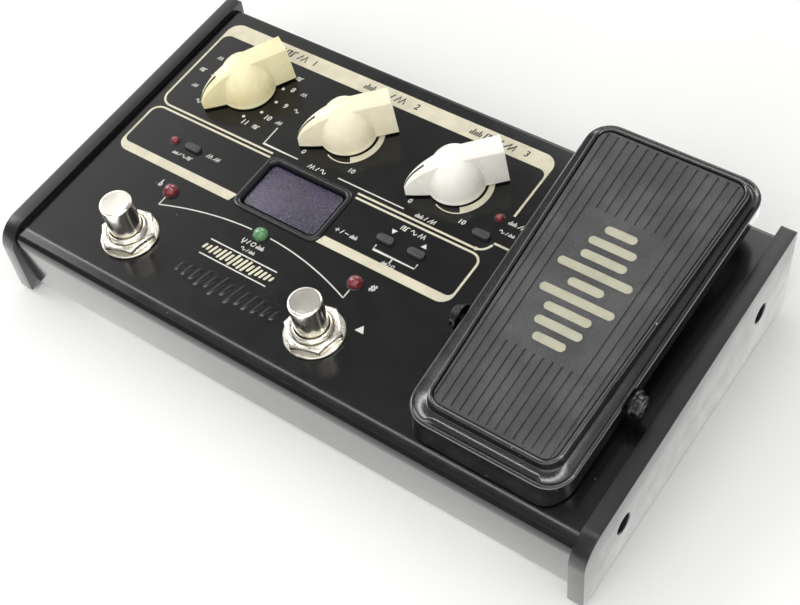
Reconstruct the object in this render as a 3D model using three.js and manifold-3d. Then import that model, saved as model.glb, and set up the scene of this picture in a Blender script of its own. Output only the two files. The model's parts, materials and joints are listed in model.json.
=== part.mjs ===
/**
 * Multi-effects pedalboard with an expression pedal, as an assembly of separate parts.
 *
 * Millimetres. +X to the right, +Y towards the jacks at the back, +Z up. The origin lies under the
 * middle of the two end caps, on the surface that the rubber feet stand on.
 */
import * as THREE from 'three';
import { mergeVertices } from 'three/addons/utils/BufferGeometryUtils.js';
import Module from 'manifold-3d';

const wasm = await Module();
wasm.setup();

// ---------------------------------------------------------------- driving dimensions

const GAP = 0.3; // air between pieces that touch
const WIDTH = 229; // over both end caps
const DEPTH = 128; // of an end cap
const FOOT_LIFT = 1.5; // underside of the end caps above the table

const CAP = {
  thickness: 5.4,
  frontHeight: 30.9, // top edge where the front corner begins
  backHeight: 38.5,
  frontRadius: 9.5,
  backRadius: 5,
  screwBore: 3.6,
  screwRecess: 7,
  recessDepth: 3.2,
};
const CAP_SCREWS = [
  { end: 'front', y: -42, z: 16.7 },
  { end: 'rear', y: 42.8, z: 20.3 },
];

const DECK = { height: 32.4, slope: 0.066, front: -57, back: 61.4, backRadius: 2 };
const SHEET = 1.6; // thickness of the folded top cover
const WALL = { foot: 3.4, bottomY: -60.2, topY: -62, topZ: 23.4 }; // leaning front wall
const COVER_LENGTH = WIDTH - 2 * (CAP.thickness + GAP);

const PLATE = { bottom: 3.4, thickness: 1.2, front: -57.8, back: 59, length: 216.8 };
const EAR = { thickness: 1.5, width: 12, bore: 3.4 };
const FOOT = { radius: 7, inset: 19, fromFront: 16 };

const BOARD = { depth: 8.8, thickness: 1.6, left: -106, right: 38, front: -30, back: 55 };

const KNOBS = [
  { name: 'selector', x: -79, pointer: 240, body: 10, color: 0xe9dfb4 },
  { name: 'gain', x: -34.2, pointer: 225, body: 8, color: 0xece6cf },
  { name: 'level', x: 10.4, pointer: 225, body: 8, color: 0xf0efe8 },
];
const KNOB = {
  y: 30.4,
  lift: 0.5,
  domeRadius: 10,
  domeHeight: 15.4,
  tail: 17,
  tip: 17.4,
  tailHalfWidth: 4.5,
  tipHalfWidth: 1.1,
  ridge: 15.2,
  crest: 4, // behind the shaft, where the ridge starts to fall towards the tip
  seat: 1.2,
  tipHeight: 3.2,
};
const SHAFT = { radius: 3, bore: 3.3, foot: -6.4, top: 9 };
const BUSHING = { radius: 4.4, top: 2.6, clearance: 9.6 };

const FOOTSWITCHES = [
  { name: 'left', x: -73.2 },
  { name: 'right', x: 4.8 },
];
const FOOTSWITCH = {
  y: -41.3,
  body: 17,
  bodyDepth: 17,
  bushing: 6.5,
  bushingTop: 5.4,
  nutFlats: 17,
  nutHeight: 2.8,
  washer: 10,
  washerHeight: 0.9,
  button: 5.5,
  foot: -6,
  top: 17.5,
};

const DISPLAY = { x: -34.2, y: -1.7, width: 36, depth: 24.2, frame: 2.2, radius: 3, proud: 0.7 };

const LEDS = [
  { name: 'led_memory_down', x: -73.3, y: -19.8, radius: 2.45, color: 0x9c1a1d },
  { name: 'led_bypass', x: -34.2, y: -19.3, radius: 2.45, color: 0x1e7a48 },
  { name: 'led_memory_up', x: 4.7, y: -19.5, radius: 2.45, color: 0x9c1a1d },
  { name: 'led_edit', x: -87.2, y: -1.3, radius: 1.45, color: 0x9c1a1d },
  { name: 'led_expression', x: 30.6, y: 24.8, radius: 1.45, color: 0x9c1a1d },
];

const BUTTONS = [
  { name: 'edit_button', x: -78.9, y: -1.1 },
  { name: 'effect_down_button', x: 3.3, y: -0.7 },
  { name: 'effect_up_button', x: 15.2, y: -0.5 },
  { name: 'assign_button', x: 29.2, y: 16.2 },
];
const BUTTON = { length: 6.6, width: 3.1, proud: 1.2, flange: 1.1, slack: 0.25 };

const BACK = { wallY: DECK.back, z: 14 };
const JACKS = [
  { name: 'input', x: 88 },
  { name: 'output', x: -20 },
];
const JACK = { bore: 3.25, bushing: 4.6, body: 14, depth: 21, nutFlats: 12.5, nutHeight: 2 };
const INLET = { x: 8, width: 9.4, height: 11, depth: 13.5, bore: 2.9, pin: 1 };
const POWER = { x: 30, width: 12, height: 6.4, depth: 6, travel: 4, lever: 3.6, leverHeight: 3 };

const BAY = { left: -102.4, right: -37.4, front: -16.5, back: 40.5, top: 20.6, wall: 1.2 };
const DOOR = { inset: 1.6, thickness: 1.2 };

const TREADLE = {
  x: 74.5,
  pivotY: -18.6,
  pivotZ: 39.6,
  tilt: THREE.MathUtils.degToRad(7.7),
  heel: -36.6,
  toe: 82.4,
  heelHalf: 28.2,
  toeHalf: 30,
  radius: 9,
  lipTop: 3.6,
  lipThickness: 2.4,
  shelf: 1.3,
  skirtInset: 0.6,
  skirtWall: 2.2,
  rimInset: 2.8,
  rimWidth: 1.4,
  rimTop: 6.7,
  floorTop: 5.2,
  skirtAtHeel: -5.3,
  skirtAtToe: -3.6,
};
const RIM = { heel: -34.3, toe: 81.7, heelHalf: 25, toeHalf: 29.2, radius: 8.5 };
const PIVOT = { axle: 2, bore: 2.3, ear: 3.2, earAt: 19.5, earThickness: 2, base: 2, reach: 9.5 };
const BOLT = { collar: 4.6, collarThickness: 1.2, head: 3.6, headThickness: 2.6 };
const GEAR = { module: 0.8, sectorTeeth: 60, pinionTeeth: 10, x: -8, thickness: 3, cutTeeth: 5 };
const SECTOR_RADIUS = (GEAR.module * GEAR.sectorTeeth) / 2;
const PINION_RADIUS = (GEAR.module * GEAR.pinionTeeth) / 2;

const FINISH = {
  blackGloss: { color: 0x0d0d0e, roughness: 0.22, metalness: 0.1 },
  blackSatin: { color: 0x141415, roughness: 0.45, metalness: 0.1 },
  steel: { color: 0x9a9c9e, roughness: 0.4, metalness: 1 },
  nickel: { color: 0xc4c1b8, roughness: 0.22, metalness: 1 },
  darkScrew: { color: 0x1b1b1c, roughness: 0.4, metalness: 0.8 },
  rubber: { color: 0x161616, roughness: 0.85, metalness: 0 },
  mat: { color: 0x2b2c2d, roughness: 0.75, metalness: 0 },
  plastic: { color: 0x18181a, roughness: 0.5, metalness: 0 },
  nylon: { color: 0xd9d7cf, roughness: 0.5, metalness: 0 },
  board: { color: 0x184a2c, roughness: 0.5, metalness: 0 },
  film: { color: 0x2a1f4a, roughness: 0.12, metalness: 0 },
};

// ---------------------------------------------------------------- solids and placing

/** A closed three.js geometry as a solid that can be cut and joined. */
function toSolid(geometry) {
  const bare = geometry.clone();
  bare.deleteAttribute('normal');
  bare.deleteAttribute('uv');
  const welded = mergeVertices(bare, 1e-4);
  const mesh = new wasm.Mesh({
    numProp: 3,
    vertProperties: new Float32Array(welded.attributes.position.array),
    triVerts: new Uint32Array(welded.index.array),
  });
  return new wasm.Manifold(mesh);
}

/** A solid back as a three.js geometry. */
function toGeometry(solid) {
  const mesh = solid.getMesh();
  const geometry = new THREE.BufferGeometry();
  geometry.setAttribute('position', new THREE.BufferAttribute(mesh.vertProperties, mesh.numProp));
  geometry.setIndex(new THREE.BufferAttribute(mesh.triVerts, 1));
  return geometry;
}

function cut(base, tools) {
  return toGeometry(tools.reduce((solid, tool) => solid.subtract(toSolid(tool)), toSolid(base)));
}

function join(pieces) {
  const [first, ...rest] = pieces;
  return toGeometry(rest.reduce((solid, piece) => solid.add(toSolid(piece)), toSolid(first)));
}

function common(a, b) {
  return toGeometry(toSolid(a).intersect(toSolid(b)));
}

/** A box given by its lowest and highest corners. */
function boxBetween([x0, y0, z0], [x1, y1, z1]) {
  const box = new THREE.BoxGeometry(x1 - x0, y1 - y0, z1 - z0);
  return box.translate((x0 + x1) / 2, (y0 + y1) / 2, (z0 + z1) / 2);
}

/** A cylinder standing on z0 and ending at z1, its axis on Z. */
function post(radius, z0, z1, sides = 20) {
  const cylinder = new THREE.CylinderGeometry(radius, radius, z1 - z0, sides);
  return cylinder.rotateX(Math.PI / 2).translate(0, 0, (z0 + z1) / 2);
}

/** A cylinder along X between x0 and x1. */
function rod(radius, x0, x1, sides = 20) {
  return post(radius, x0, x1, sides).rotateY(Math.PI / 2);
}

/** A cylinder along Y between y0 and y1. */
function pipe(radius, y0, y1, sides = 20) {
  return post(radius, -y1, -y0, sides).rotateX(Math.PI / 2);
}

/** A solid of revolution about Z from [radius, z] pairs that start and end on the axis. */
function turned(pairs, sides = 20) {
  const points = pairs.map(([radius, z]) => new THREE.Vector2(radius, z));
  return new THREE.LatheGeometry(points, sides).rotateX(Math.PI / 2);
}

/** A flat shape in XY, raised from z0 to z1. */
function slab(shape, z0, z1, curveSegments = 2) {
  const geometry = new THREE.ExtrudeGeometry(shape, {
    depth: z1 - z0,
    bevelEnabled: false,
    curveSegments,
  });
  return geometry.translate(0, 0, z0);
}

/** A shape drawn in the YZ plane, swept along X from x0 to x1. */
function sweepX(shape, x0, x1, curveSegments = 3) {
  const basis = new THREE.Matrix4().makeBasis(
    new THREE.Vector3(0, 1, 0),
    new THREE.Vector3(0, 0, 1),
    new THREE.Vector3(1, 0, 0),
  );
  return slab(shape, 0, x1 - x0, curveSegments).applyMatrix4(basis).translate(x0, 0, 0);
}

function roundedRectangle(width, depth, radius) {
  const [w, d, r] = [width / 2, depth / 2, radius];
  const shape = new THREE.Shape();
  shape.moveTo(w, -d + r).lineTo(w, d - r);
  shape.absarc(w - r, d - r, r, 0, Math.PI / 2);
  shape.absarc(-w + r, d - r, r, Math.PI / 2, Math.PI);
  shape.absarc(-w + r, -d + r, r, Math.PI, 1.5 * Math.PI);
  shape.absarc(w - r, -d + r, r, 1.5 * Math.PI, 2 * Math.PI);
  return shape;
}

function hexagon(acrossFlats) {
  const radius = acrossFlats / Math.sqrt(3);
  const corners = Array.from({ length: 6 }, (_, i) => (i * Math.PI) / 3);
  return new THREE.Shape(
    corners.map((a) => new THREE.Vector2(radius * Math.cos(a), radius * Math.sin(a))),
  );
}

function mesh(name, geometry, finish) {
  const piece = new THREE.Mesh(geometry, new THREE.MeshStandardMaterial(finish));
  piece.name = name;
  return piece;
}

// ---------------------------------------------------------------- frames of the two slopes

/** Carries what sits square on the sloping deck; its z = 0 is the painted surface. */
const deckFrame = new THREE.Group();
deckFrame.position.set(0, 0, DECK.height);
deckFrame.rotation.x = Math.atan(DECK.slope);
deckFrame.updateMatrix();

/** Carries the treadle; its origin is the middle of the pivot axle. */
const treadleFrame = new THREE.Group();
treadleFrame.position.set(TREADLE.x, TREADLE.pivotY, TREADLE.pivotZ);
treadleFrame.rotation.x = TREADLE.tilt;
treadleFrame.updateMatrix();

const deckZ = (y) => DECK.height + DECK.slope * y;
const onDeck = (geometry, x, y) => geometry.translate(x, y, 0).applyMatrix4(deckFrame.matrix);

/** Adds a piece to the deck at (x, y), turned about the deck's normal. */
function standOnDeck(piece, x, y, turn = 0) {
  piece.position.set(x, y, 0);
  piece.rotation.z = turn;
  deckFrame.add(piece);
}

const assembly = new THREE.Group();

// ---------------------------------------------------------------- case

/** Folded profile of the top cover, leaning front wall, deck and back wall, at an inner offset. */
function coverProfile(offset) {
  const drop = offset;
  return [
    new THREE.Vector2(WALL.bottomY + offset, WALL.foot),
    new THREE.Vector2(WALL.topY + offset, WALL.topZ),
    ...new THREE.QuadraticBezierCurve(
      new THREE.Vector2(WALL.topY + offset, WALL.topZ + 0.1),
      new THREE.Vector2(WALL.topY + offset, deckZ(WALL.topY) - drop - 1),
      new THREE.Vector2(DECK.front - 2.3 + offset / 2, deckZ(DECK.front) - drop - 0.6),
    ).getPoints(5),
    new THREE.Vector2(DECK.front + offset / 4, deckZ(DECK.front) - drop),
    new THREE.Vector2(DECK.back - DECK.backRadius, deckZ(DECK.back - DECK.backRadius) - drop),
    new THREE.Vector2(DECK.back - 0.6 - offset, deckZ(DECK.back) - drop - 0.6),
    new THREE.Vector2(DECK.back - offset, deckZ(DECK.back) - drop - DECK.backRadius),
    new THREE.Vector2(DECK.back - offset, WALL.foot),
  ];
}

function topCover() {
  const outline = [...coverProfile(0), ...coverProfile(SHEET).reverse()];
  const shell = sweepX(new THREE.Shape(outline), -COVER_LENGTH / 2, COVER_LENGTH / 2);
  const through = [-SHEET * 2, SHEET];
  const round = (radius, x, y) => onDeck(post(radius, ...through, 16), x, y);
  const window = roundedRectangle(
    DISPLAY.width - 2 * DISPLAY.frame + 1.4,
    DISPLAY.depth - 2 * DISPLAY.frame + 1.4,
    DISPLAY.radius,
  );
  const pill = (grow) =>
    roundedRectangle(BUTTON.length + grow, BUTTON.width + grow, (BUTTON.width + grow) / 2 - 0.01);
  const openings = [
    ...KNOBS.map((knob) => round(BUSHING.radius + GAP, knob.x, KNOB.y)),
    ...FOOTSWITCHES.map((foot) => round(FOOTSWITCH.bushing + GAP, foot.x, FOOTSWITCH.y)),
    ...LEDS.map((led) => round(led.radius + 0.2, led.x, led.y)),
    ...BUTTONS.map((b) => onDeck(slab(pill(2 * BUTTON.slack), ...through), b.x, b.y)),
    onDeck(slab(window, ...through), DISPLAY.x, DISPLAY.y),
    onDeck(slab(roundedRectangle(5, 15, 2), ...through), TREADLE.x + GEAR.x, TREADLE.pivotY),
    ...JACKS.map((jack) =>
      pipe(JACK.bushing + GAP, BACK.wallY - 4, BACK.wallY + 1).translate(jack.x, 0, BACK.z),
    ),
    boxBetween(
      [INLET.x - INLET.width / 2 - GAP, BACK.wallY - 4, BACK.z - INLET.height / 2 - GAP],
      [INLET.x + INLET.width / 2 + GAP, BACK.wallY + 1, BACK.z + INLET.height / 2 + GAP],
    ),
    boxBetween(
      [POWER.x - POWER.travel - 0.5, BACK.wallY - 4, BACK.z - POWER.leverHeight / 2 - GAP],
      [POWER.x + POWER.travel + 0.5, BACK.wallY + 1, BACK.z + POWER.leverHeight / 2 + GAP],
    ),
  ];
  return mesh('top_cover', cut(shell, openings), FINISH.blackGloss);
}

/** Side profile shared by both end caps. */
function capProfile() {
  const half = DEPTH / 2;
  const { frontRadius, backRadius, frontHeight, backHeight } = CAP;
  const shape = new THREE.Shape();
  shape.moveTo(-half, FOOT_LIFT).lineTo(half - backRadius, FOOT_LIFT);
  shape.absarc(half - backRadius, FOOT_LIFT + backRadius, backRadius, -Math.PI / 2, 0);
  shape.lineTo(half, backHeight - 1).lineTo(half - 1, backHeight);
  shape.lineTo(-half + frontRadius, frontHeight);
  shape.absarc(
    -half + frontRadius,
    frontHeight - frontRadius,
    frontRadius,
    Math.PI / 2,
    Math.PI,
  );
  return shape;
}

function endCap(side, sign) {
  const outer = (sign * WIDTH) / 2;
  const inner = outer - sign * CAP.thickness;
  const slabX = [Math.min(outer, inner), Math.max(outer, inner)];
  const holes = CAP_SCREWS.flatMap(({ y, z }) => {
    const floor = outer - sign * CAP.recessDepth;
    const recess = [Math.min(floor, outer + sign), Math.max(floor, outer + sign)];
    return [
      rod(CAP.screwRecess / 2, ...recess).translate(0, y, z),
      rod(CAP.screwBore / 2, slabX[0] - 1, slabX[1] + 1, 12).translate(0, y, z),
    ];
  });
  return mesh(`${side}_end_cap`, cut(sweepX(capProfile(), ...slabX, 5), holes), FINISH.blackSatin);
}

/** Countersunk-head screw with a cross recess, its tip along -Z. */
function screwBody() {
  const head = 3.1;
  const headHeight = 2.1;
  const length = 8.5;
  const body = turned([
    [0, -length],
    [1, -length],
    [1.5, -length + 1],
    [1.5, 0],
    [head, 0],
    [head, headHeight * 0.6],
    [head * 0.7, headHeight],
    [0, headHeight],
  ], 16);
  const blade = boxBetween([-2, -0.45, headHeight - 1], [2, 0.45, headHeight + 1]);
  return cut(body, [blade, blade.clone().rotateZ(Math.PI / 2)]);
}

function endCapScrew(side, sign, place) {
  const screw = mesh(`${side}_cap_screw_${place.end}`, screwBody(), FINISH.darkScrew);
  screw.rotation.y = (sign * Math.PI) / 2;
  screw.position.set(sign * (WIDTH / 2 - CAP.recessDepth + GAP), place.y, place.z);
  return screw;
}

function bottomPlate() {
  const half = PLATE.length / 2;
  const top = PLATE.bottom + PLATE.thickness;
  const sheet = boxBetween([-half, PLATE.front, PLATE.bottom], [half, PLATE.back, top]);
  const ears = [-1, 1].flatMap((sign) =>
    CAP_SCREWS.map(({ y, z }) => {
      const face = sign * half;
      const back = face - sign * EAR.thickness;
      return boxBetween(
        [Math.min(face, back), y - EAR.width / 2, PLATE.bottom + 0.1],
        [Math.max(face, back), y + EAR.width / 2, z + EAR.width / 2 - 1],
      );
    }),
  );
  const bores = CAP_SCREWS.map(({ y, z }) =>
    rod(EAR.bore / 2, -half - 1, half + 1, 12).translate(0, y, z),
  );
  const bay = boxBetween(
    [BAY.left + DOOR.inset, BAY.front + DOOR.inset, PLATE.bottom - 1],
    [BAY.right - DOOR.inset, BAY.back - DOOR.inset, top + 1],
  );
  return mesh('bottom_plate', cut(join([sheet, ...ears]), [...bores, bay]), FINISH.steel);
}

function foot(name, x, y) {
  const { radius } = FOOT;
  const top = PLATE.bottom - GAP;
  const piece = turned([[0, 0], [radius - 0.6, 0], [radius, 0.6], [radius, top], [0, top]], 20);
  const rubber = mesh(name, piece, FINISH.rubber);
  rubber.position.set(x, y, 0);
  return rubber;
}

function addCase() {
  assembly.add(topCover(), bottomPlate());
  for (const [side, sign] of [['left', -1], ['right', 1]]) {
    assembly.add(endCap(side, sign));
    for (const place of CAP_SCREWS) assembly.add(endCapScrew(side, sign, place));
    for (const [end, way] of [['front', -1], ['rear', 1]]) {
      const x = sign * (WIDTH / 2 - FOOT.inset);
      assembly.add(foot(`${side}_foot_${end}`, x, way * (DEPTH / 2 - FOOT.fromFront)));
    }
  }
}

// ---------------------------------------------------------------- circuit board and batteries

function mainBoard() {
  const top = -BOARD.depth;
  const sheet = boxBetween(
    [BOARD.left, BOARD.front, top - BOARD.thickness],
    [BOARD.right, BOARD.back, top],
  );
  const tactSwitches = BUTTONS.map(({ x, y }) =>
    boxBetween([x - 3, y - 3, top - 0.5], [x + 3, y + 3, top + 3.6]),
  );
  const processor = boxBetween([-62, 14, top - 0.5], [-50, 26, top + 1.4]);
  const memory = boxBetween([-16, 14, top - 0.5], [-6, 20, top + 1.2]);
  const board = mesh('main_board', join([sheet, ...tactSwitches, processor, memory]), FINISH.board);
  standOnDeck(board, 0, 0);
}

/** Open-bottomed tray for four AA cells with low dividers between them. */
function batteryBox() {
  const { left, right, front, back, top, wall } = BAY;
  const foot = PLATE.bottom + PLATE.thickness + GAP;
  const outside = boxBetween([left, front, foot], [right, back, top]);
  const inside = boxBetween(
    [left + wall, front + wall, foot - 1],
    [right - wall, back - wall, top - wall],
  );
  const cells = 4;
  const pitch = (right - left - 2 * wall) / cells;
  const dividers = Array.from({ length: cells - 1 }, (_, i) => {
    const x = left + wall + pitch * (i + 1);
    return boxBetween([x - 0.5, front + 0.5, top - wall - 2.4], [x + 0.5, back - 0.5, top - 0.5]);
  });
  return mesh('battery_box', join([cut(outside, [inside]), ...dividers]), FINISH.plastic);
}

function batteryDoor() {
  const edge = DOOR.inset + GAP;
  const width = BAY.right - BAY.left - 2 * edge;
  const depth = BAY.back - BAY.front - 2 * edge;
  const sheet = slab(roundedRectangle(width, depth, 1.5), 0, DOOR.thickness, 3);
  const grip = boxBetween([-8, -depth / 2 + 3, -1], [8, -depth / 2 + 7, 0.5]);
  const door = mesh('battery_door', cut(sheet, [grip]), FINISH.plastic);
  door.position.set((BAY.left + BAY.right) / 2, (BAY.front + BAY.back) / 2, PLATE.bottom);
  return door;
}

// ---------------------------------------------------------------- deck controls

/** Potentiometer or rotary switch hanging under the deck, its bushing through it. */
function controlBody(radius) {
  const under = -SHEET - GAP;
  const can = post(radius, -BOARD.depth + GAP, under);
  const bushing = post(BUSHING.radius, under - 0.5, BUSHING.top);
  const bore = post(SHAFT.bore, SHAFT.foot - 0.4, BUSHING.top + 1);
  return cut(join([can, bushing]), [bore]);
}

/** Pointer knob: a dome crossed by a blade with a square tail and a narrow tip along +X. */
function knobBody() {
  const { domeRadius, domeHeight, tail, tip, tailHalfWidth, tipHalfWidth } = KNOB;
  const { ridge, crest, seat, tipHeight } = KNOB;
  const quarter = Array.from({ length: 6 }, (_, i) => (i / 5) * (Math.PI / 2));
  const dome = turned([
    [0, 0],
    [domeRadius, 0],
    ...quarter.slice(0, -1).map((a) => [
      domeRadius * Math.cos(a),
      seat + (domeHeight - seat) * Math.sin(a),
    ]),
    [0, domeHeight],
  ], 28);
  const plan = new THREE.Shape();
  plan.moveTo(-tail, -tailHalfWidth).lineTo(0, -tailHalfWidth);
  plan.quadraticCurveTo(tip * 0.6, -tailHalfWidth + 0.4, tip, -tipHalfWidth);
  plan.lineTo(tip, tipHalfWidth);
  plan.quadraticCurveTo(tip * 0.6, tailHalfWidth - 0.4, 0, tailHalfWidth);
  plan.lineTo(-tail, tailHalfWidth);
  const fall = ridge - seat;
  const start = Math.asin((tipHeight - seat) / fall);
  const side = new THREE.Shape();
  side.moveTo(-tail, 0.4).lineTo(tip, 0.4);
  side.absellipse(-crest, seat, (tip + crest) / Math.cos(start), fall, start, Math.PI / 2);
  side.lineTo(-tail, ridge);
  const blade = common(
    slab(plan, 0, ridge + 1, 5),
    slab(side, -tailHalfWidth - 1, tailHalfWidth + 1, 6).rotateX(Math.PI / 2),
  );
  const recess = post(BUSHING.clearance / 2, -1, BUSHING.top + 0.4);
  const bore = post(SHAFT.bore, -1, SHAFT.top + GAP - KNOB.lift);
  return cut(join([dome, blade]), [recess, bore]);
}

function addKnobs() {
  for (const { name, x, pointer, body, color } of KNOBS) {
    const housing = name === 'selector' ? 'selector_switch' : `${name}_potentiometer`;
    standOnDeck(mesh(housing, controlBody(body), FINISH.steel), x, KNOB.y);
    const shaft = post(SHAFT.radius, SHAFT.foot, SHAFT.top);
    standOnDeck(mesh(`${name}_shaft`, shaft, FINISH.steel), x, KNOB.y);
    const finish = { color, roughness: 0.3, metalness: 0 };
    const cap = mesh(`${name}_knob`, knobBody().translate(0, 0, KNOB.lift), finish);
    standOnDeck(cap, x, KNOB.y, THREE.MathUtils.degToRad(pointer));
  }
}

function footswitchBody() {
  const { body, bodyDepth, bushing, bushingTop, button, foot } = FOOTSWITCH;
  const under = -SHEET - GAP;
  const can = boxBetween([-body / 2, -body / 2, under - bodyDepth], [body / 2, body / 2, under]);
  const sleeve = post(bushing, under - 0.5, bushingTop);
  const bore = post(button + GAP, foot - 4, bushingTop + 1);
  return cut(join([can, sleeve]), [bore]);
}

/** Hexagonal nut on a round washer face, its foot on the deck. */
function footswitchNut() {
  const { bushing, nutFlats, nutHeight, washer, washerHeight } = FOOTSWITCH;
  const seat = 0.1;
  const face = post(washer, seat, seat + washerHeight, 24);
  const hex = slab(hexagon(nutFlats), seat + washerHeight - 0.2, seat + washerHeight + nutHeight);
  return cut(join([face, hex]), [post(bushing + GAP, -1, 10)]);
}

function footswitchButton() {
  const { button, top, foot } = FOOTSWITCH;
  return turned([[0, foot], [button, foot], [button, top - 0.5], [button - 0.5, top], [0, top]]);
}

function addFootswitches() {
  for (const { name, x } of FOOTSWITCHES) {
    const { y } = FOOTSWITCH;
    standOnDeck(mesh(`footswitch_body_${name}`, footswitchBody(), FINISH.steel), x, y);
    standOnDeck(mesh(`footswitch_nut_${name}`, footswitchNut(), FINISH.nickel), x, y, 0.3);
    standOnDeck(mesh(`footswitch_button_${name}`, footswitchButton(), FINISH.nickel), x, y);
  }
}

function addDisplay() {
  const { x, y, width, depth, frame, radius, proud } = DISPLAY;
  const [openWidth, openDepth] = [width - 2 * frame, depth - 2 * frame];
  const flange = slab(roundedRectangle(width, depth, radius + 0.8), 0.1, proud);
  const collar = slab(roundedRectangle(openWidth + 0.8, openDepth + 0.8, radius), -2.4, 0.3);
  const hole = slab(roundedRectangle(openWidth - 1, openDepth - 1, radius - 0.5), -5, 2);
  standOnDeck(mesh('display_bezel', cut(join([flange, collar]), [hole]), FINISH.blackGloss), x, y);
  const pane = roundedRectangle(openWidth - 1.6, openDepth - 1.6, radius - 0.8);
  standOnDeck(mesh('display_lens', slab(pane, -1.9, -0.7), FINISH.film), x, y);
  const module = boxBetween(
    [-openWidth / 2 + 1, -openDepth / 2 + 1, -BOARD.depth + GAP],
    [openWidth / 2 - 1, openDepth / 2 - 1, -2.8],
  );
  standOnDeck(mesh('display_module', module, FINISH.plastic), x, y);
}

/** Lamp with a domed lens above the deck and a flange and stem below it. */
function ledBody(radius) {
  const under = -SHEET - GAP;
  const proud = radius * 0.45;
  const arc = Array.from({ length: 4 }, (_, i) => (i / 4) * (Math.PI / 2));
  return turned([
    [0, -BOARD.depth + GAP],
    [radius * 0.6, -BOARD.depth + GAP],
    [radius * 0.6, under - 1],
    [radius + 0.5, under - 1],
    [radius + 0.5, under],
    [radius, under],
    ...arc.map((a) => [radius * Math.cos(a), proud + radius * 0.7 * Math.sin(a)]),
    [0, proud + radius * 0.7],
  ], 12);
}

function addLamps() {
  for (const { name, x, y, radius, color } of LEDS) {
    standOnDeck(mesh(name, ledBody(radius), { color, roughness: 0.15, metalness: 0 }), x, y);
  }
}

/** Push-button cap: a pill above the deck on a wider flange under it. */
function buttonCap() {
  const { length, width, proud, flange } = BUTTON;
  const under = -SHEET - GAP;
  const pill = roundedRectangle(length, width, width / 2 - 0.01);
  const rest = roundedRectangle(length + 2 * flange, width + 2 * flange, width / 2 + flange - 0.01);
  return join([slab(pill, under - 0.4, proud), slab(rest, under - 1.3, under)]);
}

function addButtons() {
  for (const { name, x, y } of BUTTONS) {
    standOnDeck(mesh(name, buttonCap(), FINISH.rubber), x, y);
  }
}

// ---------------------------------------------------------------- back panel

/** Panel-mount 6.35 mm socket seen along Y, its mouth towards +Y. */
function jackBody() {
  const { bore, bushing, body, depth } = JACK;
  const inside = BACK.wallY - SHEET - GAP;
  const half = body / 2;
  const can = boxBetween([-half, inside - depth, -half], [half, inside, half]);
  const sleeve = pipe(bushing, inside - 0.5, BACK.wallY + JACK.nutHeight + 0.4);
  return cut(join([can, sleeve]), [pipe(bore, inside - depth + 2, BACK.wallY + 5)]);
}

function jackNut() {
  const { bushing, nutFlats, nutHeight } = JACK;
  const hex = slab(hexagon(nutFlats), 0, nutHeight);
  return cut(hex, [post(bushing + GAP, -1, nutHeight + 1)]);
}

function addJacks() {
  for (const { name, x } of JACKS) {
    const body = mesh(`${name}_jack`, jackBody(), FINISH.plastic);
    body.position.set(x, 0, BACK.z);
    const nut = mesh(`${name}_jack_nut`, jackNut(), FINISH.nickel);
    nut.rotation.x = -Math.PI / 2;
    nut.position.set(x, BACK.wallY + 0.2, BACK.z);
    assembly.add(body, nut);
  }
}

/** Barrel inlet for the power adaptor, with its centre pin. */
function powerInlet() {
  const { x, width, height, depth, bore, pin } = INLET;
  const front = BACK.wallY + 0.4;
  const can = boxBetween(
    [-width / 2, front - depth, -height / 2],
    [width / 2, front, height / 2],
  );
  const socket = cut(can, [pipe(bore, front - depth + 3, front + 1, 16)]);
  const centrePin = pipe(pin, front - depth + 2, front - 1.5, 10);
  const inlet = mesh('dc_inlet', join([socket, centrePin]), FINISH.plastic);
  inlet.position.set(x, 0, BACK.z);
  return inlet;
}

/** Slide switch: fixed body behind the back wall and a lever through its slot. */
function addPowerSwitch() {
  const { x, width, height, depth, travel, lever, leverHeight } = POWER;
  const inside = BACK.wallY - SHEET - GAP;
  const slotHalf = travel / 2 + lever / 2 + GAP;
  const channel = boxBetween(
    [-slotHalf, inside - 2, -leverHeight / 2 - GAP],
    [slotHalf, inside + 1, leverHeight / 2 + GAP],
  );
  const can = boxBetween([-width / 2, inside - depth, -height / 2], [width / 2, inside, height / 2]);
  const body = mesh('power_switch', cut(can, [channel]), FINISH.steel);
  body.position.set(x, 0, BACK.z);
  const grip = boxBetween(
    [-lever / 2, inside - 1.7, -leverHeight / 2],
    [lever / 2, BACK.wallY + 1.6, leverHeight / 2],
  );
  const slider = mesh('power_switch_lever', grip, FINISH.plastic);
  slider.position.set(x - travel / 2, 0, BACK.z);
  assembly.add(body, slider);
}

// ---------------------------------------------------------------- expression pedal

/** Plan of the tray or of the rim on it, narrower at the heel, moved inwards by inset. */
function treadlePlan(inset, { heel, toe, heelHalf, toeHalf, radius } = TREADLE) {
  const [y0, y1] = [heel + inset, toe - inset];
  const [w0, w1] = [heelHalf - inset, toeHalf - inset];
  const r = radius - inset;
  const lean = Math.atan((toeHalf - heelHalf) / (toe - heel));
  const corner = (shape, x, y, from, to) => shape.absarc(x, y, r, from, to);
  const shape = new THREE.Shape();
  shape.moveTo(0, y0);
  corner(shape, w0 - r, y0 + r, -Math.PI / 2, -lean);
  corner(shape, w1 - r, y1 - r, -lean, Math.PI / 2);
  corner(shape, -w1 + r, y1 - r, Math.PI / 2, Math.PI + lean);
  corner(shape, -w0 + r, y0 + r, Math.PI + lean, 1.5 * Math.PI);
  return shape;
}

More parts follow.
